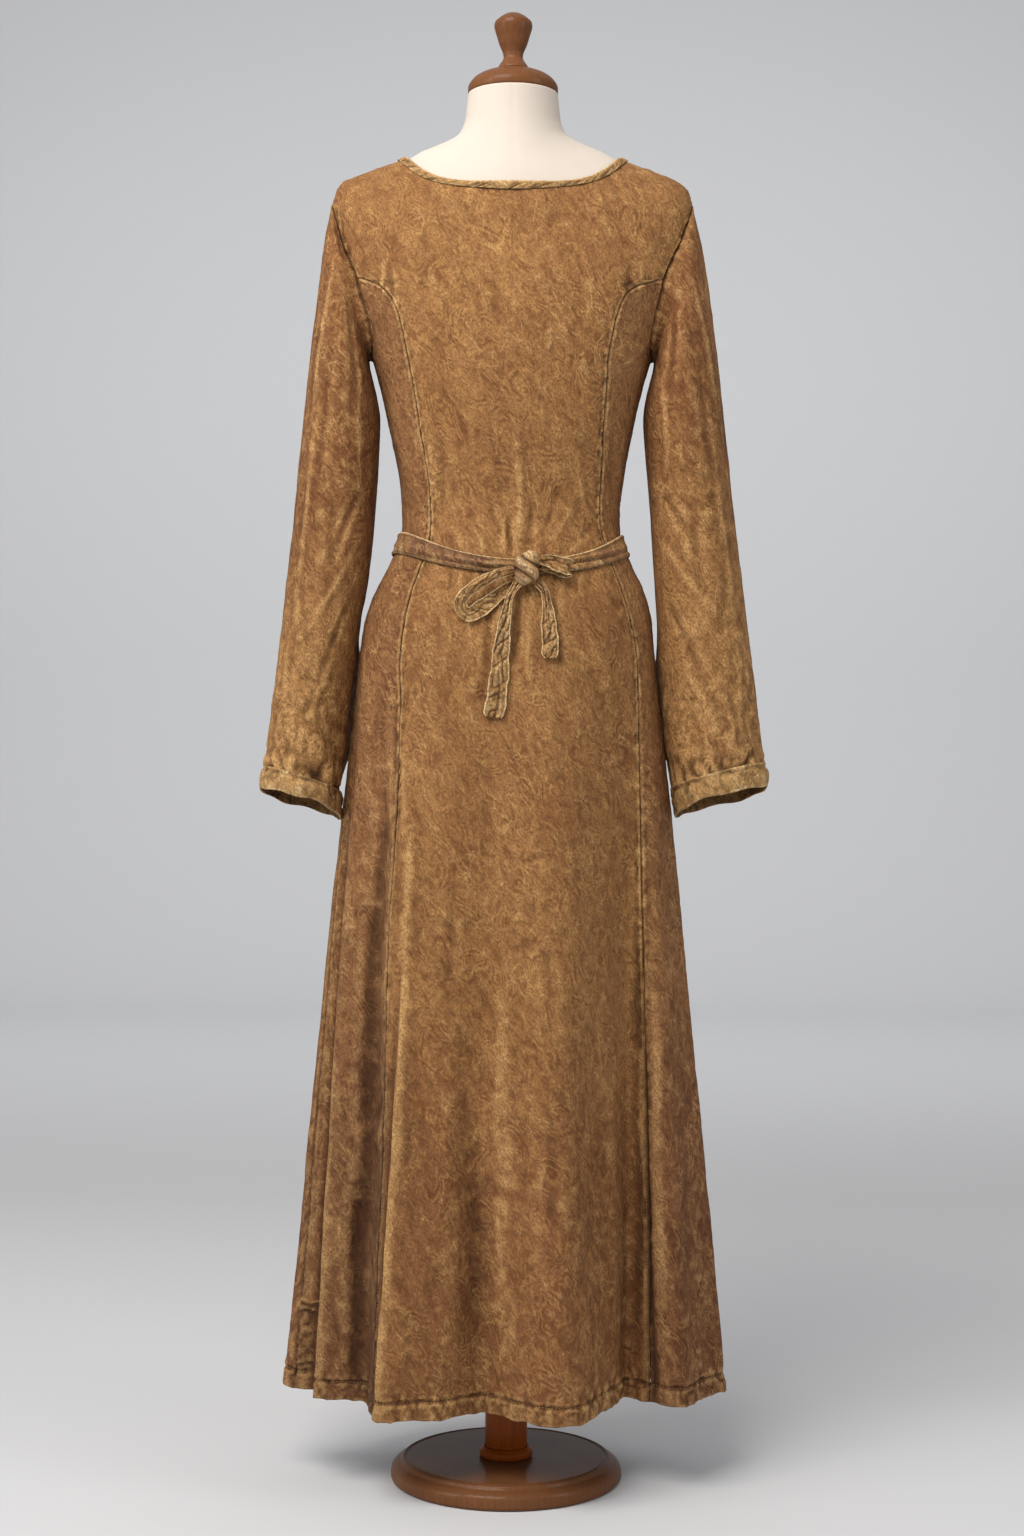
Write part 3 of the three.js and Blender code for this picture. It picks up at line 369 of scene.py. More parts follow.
def dress_line(u, h):
    low = hem_line(u)
    top = section(u, np.maximum(h, HIP))
    t = (np.clip(HIP - h, 0, None) / (HIP - HEM))[..., None] ** VALLEY["gain"]
    skirt = np.concatenate([top[..., :2] * (1 - t) + low * t, h[..., None]], axis=-1)
    return np.where(h[..., None] >= HIP, top, skirt)


def dress(u, h):
    """The dress's outer face, with the turn from hip to skirt evened out."""
    u, h = np.broadcast_arrays(np.asarray(u, float), np.asarray(h, float))
    soft = 34 * bump((h - HIP) / 110)
    parts = [(0.3, 0), (0.22, 0.5), (0.22, -0.5), (0.13, 1), (0.13, -1)]
    return sum(share * dress_line(u, h + step * soft) for share, step in parts)


def facing(points):
    """Outward direction at each point of a grid whose rows rise and columns go round."""
    side = np.roll(points, -1, axis=1) - np.roll(points, 1, axis=1)
    return unit(np.cross(side, np.gradient(points, axis=0)))


def outward(surface, u, h):
    """Outward direction of a surface that is given by turn and height."""
    top = np.minimum(h + 0.6, NECK)
    return unit(np.cross(surface(u + 0.3, h) - surface(u - 0.3, h),
                         surface(u, top) - surface(u, top - 1.2)))


def near_knot(u):
    return bump((u - SASH["at"]) / SASH["spread"])


def sash_at(u, side):
    """Height of the sash's lower edge (-1), middle (0) or upper edge (1), which sinks towards
    the knot."""
    near = near_knot(u)
    return SASH["side"] - SASH["dip"] * near + side * (SASH["half"] - SASH["pinch"] * near)


def search(low, high, below):
    """Halves the ranges from low to high until they close on where below stops being true."""
    for _ in range(24):
        mid = (low + high) / 2
        up = below(mid)
        low, high = np.where(up, mid, low), np.where(up, high, mid)
    return (low + high) / 2


def below_neck(u, distance):
    """Height of the points a given distance below the neck edge, measured on the cloth."""
    edge = dress(u, np.full_like(u, NECK))
    return search(np.full_like(u, SHOULDER), np.full_like(u, NECK),
                  lambda mid: norm(dress(u, mid) - edge) > distance)


def back_turn(x, z):
    """Turn at which the back of the dress has the given x at the given height."""
    return search(np.full(np.shape(x), -60.0), np.full(np.shape(x), 60.0),
                  lambda mid: dress(mid, z)[..., 0] < x)


def cloth_per_degree(u, h):
    return norm(dress(u, h)[..., :2]) * np.pi / 180


def slant(u, h):
    """How many times longer than its rise an edge is, where it slants."""
    return np.hypot(1, np.gradient(u, h) * cloth_per_degree(u, h))


def round_length(turns, h):
    """Length of the cloth through the given turns at one height."""
    return norm(np.diff(dress(turns, np.full(len(turns), h)), axis=0)).sum()


def from_first_column(grid):
    """Distance of each column of a grid of points from the first one, along the rows."""
    steps = np.cumsum(norm(np.diff(grid, axis=1)), axis=1)
    return np.concatenate([np.zeros((len(grid), 1)), steps], axis=1)


# ------------------------------------------------------------------ relief of the worn cloth
def ridge(d, wide):
    """Across a crease: a round back that dips a little below the cloth on both sides."""
    return bell(d, wide) - 0.22 * bell(d, 2.3 * wide)


def crease(a, b, a0, b0, a1, b1, bow, wide, high):
    """Height of one crease at the places (a, b) of the cloth."""
    length = math.hypot(a1 - a0, b1 - b0)
    ta, tb = (a1 - a0) / length, (b1 - b0) / length
    t = ((a - a0) * ta + (b - b0) * tb) / length
    d = (a - a0) * tb - (b - b0) * ta
    d = d + bow * np.sin(np.pi * t) + 0.16 * wide * np.sin(length * t / (3.5 * wide) + a0)
    fade = np.sin(np.pi * np.clip(t, 0, 1)) ** 0.55
    uneven = 0.86 + 0.14 * np.sin(length * t / (6 * wide) + b0)
    width = wide * (0.8 + 0.5 * np.abs(t - 0.35))
    return np.where((t > 0) & (t < 1) & (np.abs(d) < 6 * wide),
                    high * fade * uneven * ridge(d, width), 0.0)


def pucker(s, phase=2.2, pitch=10.0):
    """Uneven waves along a sewn edge, -1 to 1."""
    return (0.62 * np.sin(2 * np.pi * s / pitch + 1.6 * np.sin(s / 31 + phase) + phase)
            + 0.38 * np.sin(2 * np.pi * s / (pitch * 0.57) + 2.1 * np.sin(s / 19 + 2 * phase)))


def body_relief(u, h, p):
    """How far the dress's cloth stands out of its smooth form at each point, in mm."""
    x, z = p[..., 0], p[..., 2]
    c = np.cos(np.radians(u))
    lift = np.zeros_like(x)
    for creases, side in ((BACK_CREASES, c), (FRONT_CREASES, -c)):
        shown = ease(side, -0.05, 0.25)
        for row in zip(*creases.values()):
            lift += shown * crease(x, z, *row)
    for x0, z0, x1, z1, stand, sink, wide, over in zip(*FOLD_EDGES.values()):
        t = (z0 - z) / (z0 - z1)
        d = (x - x0 - (x1 - x0) * t) * over
        top = ease(d, -2.6, 1.4)
        fold = top * stand * bell(np.clip(d, 0, None), wide)
        fold -= (1 - top) * sink * bell(np.clip(d, None, 0), 0.75 * wide)
        lift += fold * ease(t, 0, 0.3) * ease(c, -0.05, 0.15)
    # crushed and gathered against the sash
    sash = sash_at(u, 0)
    close = bell(h - sash, 26) * (0.35 + 0.65 * bump((u - SASH["at"]) / 60))
    lift += 1.7 * close * billow(p, (8, 30, 24), 9)
    for gx, up, down, lean, wide, high in zip(*GATHERS.values()):
        back = ease(c, 0.1, 0.5) * (0.35 + 0.4 * ease(abs(gx - 10), 30, 70))
        front = ease(-c, 0.1, 0.5) * 0.6
        for reach in (up, -down):
            t = (h - sash) / reach
            near = np.clip(t, 0, 1)
            held = (t > 0) & (t < 1)
            fade = ease(t, 0.02, 0.14) * (1 - ease(t, 0.35, 1.0))
            d = x - gx - 8 - lean * near * abs(reach) / 60
            pleat = ridge(d, wide * (0.75 + 0.9 * near))
            lift += np.where(held, back * high * fade * pleat, 0.0)
            pleat = ridge(x + 1.1 * gx - 5, wide * (0.9 + 0.9 * near))
            lift += np.where(held, front * high * fade * pleat, 0.0)
    wash = 0.55 * lumps(p, (42, 42, 120), 3) + 0.4 * lumps(p, (17, 17, 26), 5)
    wash += 0.22 * lumps(p, 8, 7)
    lift += wash * (1 + 0.5 * ease(HIP - h, 0, 300))
    under_sash = np.exp(-((h - sash) / (SASH["half"] + 1)) ** 4)
    lift = lift * (1 - under_sash) - 0.5 * under_sash
    # bodice cloth stays clear of the form inside it
    return np.where(h > HIP, np.maximum(lift, -2.6), lift)


# ------------------------------------------------------------------ meshes
threads = []                       # each stitch: middle, direction and outward direction


def lay(name, points, faces, slot, wash_and_shade=None, uv=None, replaces=True):
    """A mesh from points in mm, on the root body; it replaces the CAD solid of the same name."""
    solid = name
    if replaces:
        name += {"form_cover": "_cover", "varnished_wood": "_wood"}.get(slot, "_cloth")
    mesh = bpy.data.meshes.new(name)
    mesh.from_pydata((points * MM).tolist(), [], [list(map(int, f)) for f in faces])
    mesh.shade_smooth()
    if uv is not None:
        layer = mesh.uv_layers.new(name="cut")
        layer.data.foreach_set("uv", uv.astype(np.float32).ravel())
    if wash_and_shade is not None:
        layer = mesh.attributes.new("wash_and_shade", "FLOAT_COLOR", "POINT")
        filled = np.concatenate([wash_and_shade, np.ones((len(wash_and_shade), 1))], axis=1)
        layer.data.foreach_set("color", filled.astype(np.float32).ravel())
    piece = bpy.data.objects.new(name, mesh)
    bpy.context.collection.objects.link(piece)
    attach(piece, "root")
    if replaces:
        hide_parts(solid)
    return piece


def again(grid):
    """A grid with its first column once more at the end, where a piece closes on itself."""
    return np.concatenate([grid, grid[:, :1]], axis=1)


def numbers(rows, cols):
    return np.arange(rows * cols).reshape(rows, cols)


def quads(ids):
    corners = [ids[:-1, :-1], ids[:-1, 1:], ids[1:, 1:], ids[1:, :-1]]
    return np.stack(corners, axis=-1).reshape(-1, 4)


def capped(points):
    """Points and faces of a grid that closes on itself, with a fan of triangles on each end."""
    rows, cols = points.shape[:2]
    ids = again(numbers(rows, cols))
    low, high = rows * cols, rows * cols + 1
    faces = [*quads(ids)] + [(low, ids[0, j + 1], ids[0, j]) for j in range(cols)]
    faces += [(high, ids[-1, j], ids[-1, j + 1]) for j in range(cols)]
    ends = [points[0].mean(axis=0), points[-1].mean(axis=0)]
    return np.concatenate([points.reshape(-1, 3), ends]), faces


def wash_and_shade_marks(worn, deep, tone, darkest=0):
    """What the cotton's material reads: how far the cloth is rubbed pale, how much darker it is
    (dye kept in hollows, and painted shade), and its tone, which on some pieces carries painted
    shade or painted light.
    """
    return np.stack([np.clip(worn, 0, 1), np.clip(deep, 0, 1), np.clip(tone, darkest, 1)], axis=-1)


def wall(name, base, out, lift, thick, ring, wash_and_shade, slot):
    """A cloth wall: a grid of points lifted along out, and the same grid a thickness inside,
    which is little rubbed and is painted darker, as painted shade inside the openings."""
    rows, cols = base.shape[:2]
    thick = np.broadcast_to(thick, base.shape[:2])[..., None]
    face = base + out * lift[..., None]
    back = face - out * thick
    points = np.concatenate([face.reshape(-1, 3), back.reshape(-1, 3)])
    ids = again(numbers(rows, cols)) if ring else numbers(rows, cols)
    width = from_first_column(again(base) if ring else base)
    width -= width[:, -1:] / 2
    rise = norm(np.diff(base, axis=0)).mean(axis=1)
    height = np.concatenate([[0], np.cumsum(rise)])
    uv = np.stack([width, np.broadcast_to(height[:, None], width.shape)], axis=-1) * MM
    flat = numbers(*uv.shape[:2])
    deep = ids + rows * cols

    def strips(o, n):
        parts = [quads(o), quads(n)[:, ::-1]]
        for a, b in ((n[0], o[0]), (o[-1], n[-1])):
            parts.append(np.stack([a[:-1], a[1:], b[1:], b[:-1]], axis=-1))
        if not ring:
            for a, b in ((n[:, 0], o[:, 0]), (o[:, -1], n[:, -1])):
                parts.append(np.stack([a[:-1], b[:-1], b[1:], a[1:]], axis=-1))
        return np.concatenate(parts)

    uvs = uv.reshape(-1, 2)[strips(flat, flat).ravel()]
    wash_and_shade = wash_and_shade.reshape(-1, 3)
    # the inner face: little rubbed, and painted darker as painted shade
    inside_unworn_and_shaded = wash_and_shade * [0.2, 1, 0.3] + [0, 0.45, 0]
    return lay(name, points, strips(ids, deep), slot, np.concatenate([wash_and_shade, inside_unworn_and_shaded]), uvs), face


def sew(line, out, pitch=3.6):
    """Puts stitches along a line of points on the cloth."""
    far = np.concatenate([[0], np.cumsum(norm(np.diff(line, axis=0)))])
    marks = np.arange(pitch, far[-1] - pitch / 2, pitch)

    def read(values, places):
        return np.stack([np.interp(places, far, values[:, k]) for k in range(3)], axis=-1)

    at = read(line, marks)
    threads.append((at, unit(read(line, marks + 0.5) - at, 1e-9), unit(read(out, marks))))


def sew_round(face, out, row, pitch=3.6):
    """Puts stitches along a row of a grid that closes on itself."""
    sew(*[np.concatenate([grid[row], grid[row][:1]]) for grid in (face, out)], pitch=pitch)


def column_line(face, out, distance):
    """Points a distance in from the grid's first (or, if negative, last) column."""
    if distance < 0:
        return column_line(face[:, ::-1], out[:, ::-1], -distance)
    far = from_first_column(face)
    return pick(face, far, distance), pick(out, far, distance)


def row_line(face, out, distance):
    """Points a distance up from the grid's lowest (or, if negative, down from its top) row."""
    return column_line(face.swapaxes(0, 1), out.swapaxes(0, 1), distance)


def pick(values, far, distance):
    at = np.array([np.interp(distance, f, np.arange(len(f))) for f in far])
    low = np.minimum(at.astype(int), values.shape[1] - 2)
    t = (at - low)[:, None]
    rows = np.arange(len(values))
    return values[rows, low] * (1 - t) + values[rows, low + 1] * t


def worn_and_trough_shade(lift):
    """Where washing has rubbed the cloth pale, and where troughs are painted darker: partly dye
    kept in the creases, partly painted shade.
    """
    tight = lift
    for _ in range(3):
        padded = np.pad(tight, 1, mode="edge")
        tight = (padded[:-2, 1:-1] + padded[2:, 1:-1] + padded[1:-1, :-2] + padded[1:-1, 2:]) / 4
    sharp = lift - tight
    worn = ease(sharp, 0.02, 0.35) * 0.5 + ease(lift, 0.8, 3.5) * 0.18
    # troughs and sunk cloth darker: painted shade, partly dye kept in the creases
    deep = ease(-sharp, 0.02, 0.35) * 0.35 + ease(-lift, 0.8, 4) * 0.42
    return worn, deep


# ------------------------------------------------------------------ the dress's panels
def seam_turn(side, h):
    """Turn of a princess seam from the back or front centre."""
    return steady(SEAMS, side, h)


def centre_turn(side, h):
    """Turn of a centre panel's edge: the princess seam, then the armhole."""
    turn = np.where(h > JUNCTION, steady(ARMHOLE, side, h), seam_turn(side, h))
    return np.where(h >= SHOULDER, 90.0, turn)


def side_turn(side, h):
    """Turn of a side panel's outer edge: the side seam, then the armhole."""
    return np.where(h <= UNDERARM, 90.0, steady(ARMHOLE, side, h))


def trim(turn, h):
    """Half the seam's space, in degrees; a slanting edge takes more of it."""
    return SEAM / 2 / cloth_per_degree(turn, h) * np.minimum(6, slant(turn, h))


def panel_rows(name, top, spacing):
    """Heights of a panel's rows of points, close together at the hem, the waist, the vent and
    the corner where princess seam and armhole meet."""
    waist_step = 2.0 if spacing == DENSE else 4.0
    rows = np.concatenate([np.arange(HEM, HEM + 26, 1.8), np.arange(HEM + 27, 930, 1.35 * spacing),
                           np.arange(932, 1108, waist_step),
                           np.arange(1110, top - spacing / 2, spacing)])
    if name == VENT_PANEL:
        rows = np.concatenate([rows[rows < 120], np.arange(120, 205, 1.8), rows[rows > 207]])
    corner = np.arange(JUNCTION - 20, min(top, JUNCTION + 1) + 0.1, 1.2)
    rows = rows[(rows < JUNCTION - 21) | (rows > JUNCTION + 2)]
    rows = np.unique(np.concatenate([rows, corner, [JUNCTION, top]]))
    rows = rows[np.concatenate([[True], np.diff(rows) > 0.35])]
    rows[-1] = top
    return rows


# The next three add to a panel's lift, to where it is rubbed (worn) and to where it is darker
# (the last argument): partly dye kept in hollows, partly painted shade.
def sew_edge(distance, strength, seed, h, base, lift, worn, kept_dye_and_shade):
    """A sewn edge: a dip at the seam, a felled ridge beside it, and puckers along it."""
    armhole = 1 + 0.8 * ease(h, JUNCTION - 30, JUNCTION - 8)
    waves = 2 * billow(base, (7, 7, 6), seed)
    drawn = 0.5 + 0.5 * lumps(base, (40, 40, 60), 19)
    felled = strength * (0.45 * bell(distance - 2.6, 2.2) - 0.9 * bell(distance, 1.3))
    lift += armhole * felled
    lift += armhole * strength * (0.4 + drawn) * waves * bell(distance, 7)
    worn += (armhole * strength * bell(distance - 1.4, 1.9)
             * (0.28 + 0.6 * drawn * (1 + waves)))
    # darker in the puckers' hollows beside the seam and along the seam's groove: painted shade,
    # partly kept dye
    kept_dye_and_shade += strength * bell(distance - 4.4, 2.2) * (0.3 + drawn) * (0.4 - 0.6 * waves)
    kept_dye_and_shade += (0.25 + 0.25 * ease(h, 850, 1000)) * strength * bell(distance, 1.1)


def turn_hem(rise, base, lift, worn, kept_dye_and_shade):
    """The turned-up hem, stitched near its top and drawn into puckers."""
    drawn = 0.75 + 0.6 * lumps(base, (45, 45, 200), 15)     # uneven along the hem
    waves = 2 * billow(base + 0.5 * rise[..., None] * [1, 0, 0], (13, 13, 20), 13) * drawn
    waves += 0.8 * billow(base, (6, 6, 9), 14)
    above = rise - HEM_DEEP
    fold = 1 - ease(above, -4, -1)
    lift += fold * 0.9
    lift -= 1.4 * bell(above + 2, 2.2)
    lift += 2.2 * waves * bell(above + 1, 9) + 1.0 * waves * fold
    worn += bell(rise, 2.4) * (0.45 + 0.25 * waves) + 0.10 * fold * (0.6 + waves)
    worn += 0.25 * bell(above + 5, 2.0) * (0.6 + waves)
    # darker in the stitched dip and over the turned fold: painted shade, partly kept dye
    kept_dye_and_shade += 0.75 * bell(above + 1, 2.0) * (0.55 - 0.6 * waves)
    kept_dye_and_shade += 0.18 * fold


def close_vent(left, h, base, lift, worn, kept_dye_and_shade):
    """A vent in the side seam, sewn shut: its line, and the bars across its ends."""
    inside = (1 - ease(h, 190, 197)) * ease(h, 112, 120)
    strip = 1 - ease(left, 20, 25)
    crushed = 2 * billow(base, (6, 6, 8), 51)
    lift += inside * strip * (1.3 * crushed - 1.6 * bell(left - 11, 1.7))
    worn += inside * strip * (0.25 * ease(crushed, 0, 0.8)
                              + 0.6 * bell(left - 14, 1.4) * (0.6 + 0.6 * crushed))
    # darker along the closed line's groove: painted shade, partly kept dye
    kept_dye_and_shade += inside * strip * (0.15 + 0.8 * bell(left - 11, 1.7))
    for level in VENT_BARS:
        above = h - level - 1.5 * np.sin(left / 4 + level)
        bar = bell(above, 1.9) * strip
        lift += bar * (1.0 + 0.6 * crushed)
        worn += 0.6 * bar * (0.8 + 0.5 * crushed)
        # a painted shadow just below each bar
        kept_dye_and_shade += 0.7 * bell(above + 4, 1.8) * strip


def panel(name, first, last, top, spacing, slot, tone, sewn):
    """A panel between two edges, given as turns at each height; sewn says how strongly each
    edge is drawn in by its seam."""
    rows = panel_rows(name, top, spacing)
    a, b = first(rows), last(rows)
    a, b = a + trim(a, rows), b - trim(b, rows)
    upright = [np.where(rows < JUNCTION, slant(edge, rows), 1)[:, None] for edge in (a, b)]
    across = np.linspace(0, 1, 60)
    widest = max(round_length(a[i] + (b[i] - a[i]) * across, rows[i]) for i in (0, len(rows) // 2))
    cols = int(widest / spacing) + 1
    u = a[:, None] + (b - a)[:, None] * np.linspace(0, 1, cols + 1)
    u = np.where(u > 180, u - 360, u)
    h = np.broadcast_to(rows[:, None], u.shape)
    base, out = dress(u, h), outward(dress, u, h)
    lift = body_relief(u, h, base)
    base[..., 2] += 3 * (1 - ease(h - HEM, 0, 26)) * billow(base, (15, 15, 300), 12)

    left = from_first_column(base)
    right = left[:, -1:] - left
    rubbed, kept_dye_and_shade = np.zeros_like(lift), np.zeros_like(lift)
    sew_edge(left / upright[0], sewn[0], 17, h, base, lift, rubbed, kept_dye_and_shade)
    sew_edge(right / upright[1], sewn[1], 19, h, base, lift, rubbed, kept_dye_and_shade)
    turn_hem(h - HEM, base, lift, rubbed, kept_dye_and_shade)
    if name == VENT_PANEL:
        close_vent(left, h, base, lift, rubbed, kept_dye_and_shade)

    worn, deep = worn_and_trough_shade(lift)
    shade = tone + 0.4 * lumps(base, (90, 90, 200), 11)
    shade = shade - (0.75 - 2.2 * tone) * ease(600 - h, 0, 380)    # painted shade: the skirt is darker towards the hem, where the light falls off
    # painted shade: the foot is also darkened in the darkening channel
    kept_dye_and_shade = kept_dye_and_shade + 0.06 * ease(420 - h, 0, 250)
    # painted shade: the left side panel is darker low down, where its side falls into shade
    if name == VENT_PANEL:
        kept_dye_and_shade = kept_dye_and_shade + 0.14 * ease(720 - h, 0, 300)
    # painted light: the right side panel is lighter from mid height up
    if name == "back_side_panel_right":
        shade = shade + 0.35 * ease(h, 500, 800)
    wash_and_shade = wash_and_shade_marks(worn + rubbed, deep + kept_dye_and_shade, 0.5 + 0.5 * shade, -0.6)
    thick = np.where(h - HEM < HEM_DEEP, HEM_WALL, WALL)
    piece, face = wall(name, base, out, lift, thick, False, wash_and_shade, slot)

    sew(*row_line(face, out, HEM_DEEP - 1), pitch=3.8)
    if name == VENT_PANEL:
        for level in VENT_BARS:
            row = int(np.argmin(np.abs(rows - level)))
            reach = int(np.sum(left[row] < 20))
            sew(face[row, :reach], out[row, :reach], pitch=2.8)
    for strength, distance in ((sewn[0], 3.4), (sewn[1], -3.4)):
        if strength > 0.7:
            sew(*column_line(face, out, distance))
    return piece


pieces = {}
pieces["back_centre"] = panel(
    "back_centre_panel", lambda h: -centre_turn("left", h), lambda h: centre_turn("right", h),
    NECK, DENSE, "cloth_centre", 0.0, (1, 1))
pieces["front_centre"] = panel(
    "front_centre_panel", lambda h: 180 - centre_turn("front", h),
    lambda h: 180 + centre_turn("front", h), NECK, PLAIN, "cloth_centre", 0.0, (1, 1))
for side, sign in (("left", -1), ("right", 1)):
    # each panel's edges in order of turn, which is from front to back on the left
    back = (lambda h: sign * seam_turn(side, h), lambda h: sign * side_turn(side, h))
    front = (lambda h: sign * (180 - side_turn("front", h)),
             lambda h: sign * (180 - seam_turn("front", h)))
    for where, edges, sewn, spacing in (("back", back, (0.6, 0.5), DENSE),
                                        ("front", front, (0.5, 0.6), PLAIN)):
        # the side panels' tone of -0.12 is painted shade on the dress's sides
        pieces[f"{where}_{side}"] = panel(
            f"{where}_side_panel_{side}", *edges[::sign], JUNCTION, spacing, "cloth_side", -0.12,
            sewn[::sign])


# ------------------------------------------------------------------ neck binding and sash
def band(name, low, high, rows, thick, spacing, slot, shape):
    """A band that lies on the dress all the way round between two heights."""
    around = round_length(np.linspace(-90, 270, 361), low(np.zeros(1))[0])
    u = np.linspace(-180, 180, int(around / spacing), endpoint=False)
    t = np.linspace(0, 1, rows)[:, None]
    bottom, top = low(u), high(u)
    h = bottom + (top - bottom) * t
    u = np.broadcast_to(u, h.shape)
    base, out = dress(u, h), outward(dress, u, h)
    along = np.cumsum(norm(base - np.roll(base, 1, axis=1)), axis=1)
    lift, *wash_and_shade = shape(t, along, u)
    piece, face = wall(name, base, out, LIE + thick + lift, thick, True, wash_and_shade_marks(*wash_and_shade), slot)
    return piece, face, out


def binding_shape(t, along, u):
    grid = np.stack([along + 3 * t, 8 * t + 0 * along, 0 * along], axis=-1)
    puffs = 2 * billow(grid, (5, 18, 1), 61)
    lift = 1.3 * np.sin(np.pi * np.clip(t * 0.94 + 0.05, 0, 1)) ** 0.6 - 0.5
    lift = lift + 1.15 * puffs * (1 - 0.6 * t)
    worn = 0.10 + 0.4 * ease(puffs, 0.1, 0.8)
    worn = worn + 0.7 * ease(t, 0.72, 0.95) + 0.35 * ease(0.18 - t, 0, 0.14)
    # painted shade: dark slits between the puckers
    deep = 0.95 * ease(-puffs, 0.1, 0.7) * ease(0.85 - t, 0, 0.35)
    return lift, worn, deep, 0.5 + 0.15 * lumps(grid, 60, 62)


def sash_shape(t, along, u):
    """The strip is folded lengthwise, and the folds tighten towards the knot."""
    near = near_knot(u)
    y = (t - 0.5) * 2
    drift = 0.30 * np.sin(np.radians(u) * 2.2 + 0.6) + 0.12 * np.sin(along / 21)
    fold = bell(y - drift, 0.24) - 0.8 * bell(y - drift + 0.44, 0.16)
    rim = bell(np.abs(y) - 0.84, 0.12)
    grid = np.stack([along + 9 * y, 11 * y + 0 * along, 0 * along], axis=-1)
    puffs = 2 * billow(grid, (11, 9, 1), 63)
    cross = 0.8 * puffs * (0.35 + 0.65 * near)
    lift = 0.7 + (0.7 + 1.5 * near) * fold + 0.8 * rim - 0.8 * np.abs(y) ** 6 + cross + 0.9 * near
    worn = 0.85 * (ease(y, 0.84, 0.92) + 0.4 * ease(-y, 0.88, 0.95)) + 0.22 * ease(puffs, 0.3, 0.9)
    # painted shade: dark lines in the fold's valley and just inside the upper rim, dark crushed
    # hollows, and a darker lower edge
    deep = 0.75 * bell(y - drift + 0.44, 0.10) * (0.4 + 0.6 * near) + 0.6 * bell(y - 0.70, 0.07)
    deep = deep + 0.5 * ease(-puffs, 0.3, 0.9) * (0.3 + 0.7 * near) + 0.3 * ease(-y, 0.6, 0.9)
    tone = 0.50 - 0.65 * bump((u + 34) / 40) + 0.2 * lumps(grid, (26, 9, 1), 64)
    return lift, worn, deep, tone


pieces["binding"], face, out = band(
    "neck_binding", lambda u: below_neck(u, BINDING), lambda u: np.full_like(u, NECK), 9, 1.6, 1.9,
    "cloth_trim", binding_shape)
sew_round(face, out, 2, pitch=3.2)
pieces["sash"], face, out = band(
    "sash", lambda u: sash_at(u, -1), lambda u: sash_at(u, 1), 27, SASH["wall"], 1.8,
    "cloth_sash", sash_shape)
for row in (4, -5):
    sew_round(face, out, row, pitch=3.2)


# ------------------------------------------------------------------ sleeves and cuffs
def between_rows(values, at):
    """A smooth curve through a row of values, read at places counted from the first one."""
    return smooth({"h": np.arange(len(values), dtype=float), "v": values}, "v", at)


def sleeve_section(rows, at, turns, sign, grow=0.0):
    """Rings of a sleeve, one for each place between its rows."""
    get = {name: between_rows(rows[name], at)[:, None] for name in rows}
    half_x, half_z = (get["out"] - get["inn"]) / 2, (get["out_z"] - get["inn_z"]) / 2
    longer = 1 + grow / np.hypot(half_x, half_z)
    across = signed_power(np.cos(turns), 0.93)[None]
    depth = signed_power(np.sin(turns), 0.93)[None]
    x = (get["out"] + get["inn"]) / 2 + half_x * longer * across
    z = (get["out_z"] + get["inn_z"]) / 2 + half_z * longer * across
    z = z + TIP * ease(900 - get["out_z"], 0, 60) * depth
    return np.stack([sign * x, -(get["deep"] + grow) * depth + 0 * x, z], axis=-1)


def armhole_ring(side, turns, sign, inside, rise):
    """The armhole's edge on the dress: shoulder, down the back, underarm, up the front; or a
    ring some way inside it, for the seam allowance."""
    h = ARM_MID + (ARM_HALF + inside) * np.cos(turns)
    shift = 0.5 * inside * np.abs(np.sin(turns))
    back = np.sin(turns) >= 0
    u = np.where(back, steady(ARMHOLE, side, h) - shift,
                 180 - steady(ARMHOLE, "front", h) + shift) * sign
    return dress(u, h) + outward(dress, u, h) * rise


def arm_turns(side, count):
    """Turns round the arm from its outer edge, in the order that makes faces point outwards."""
    turns = np.arange(count) * 2 * np.pi / count
    return turns if side == "left" else turns[::-1]


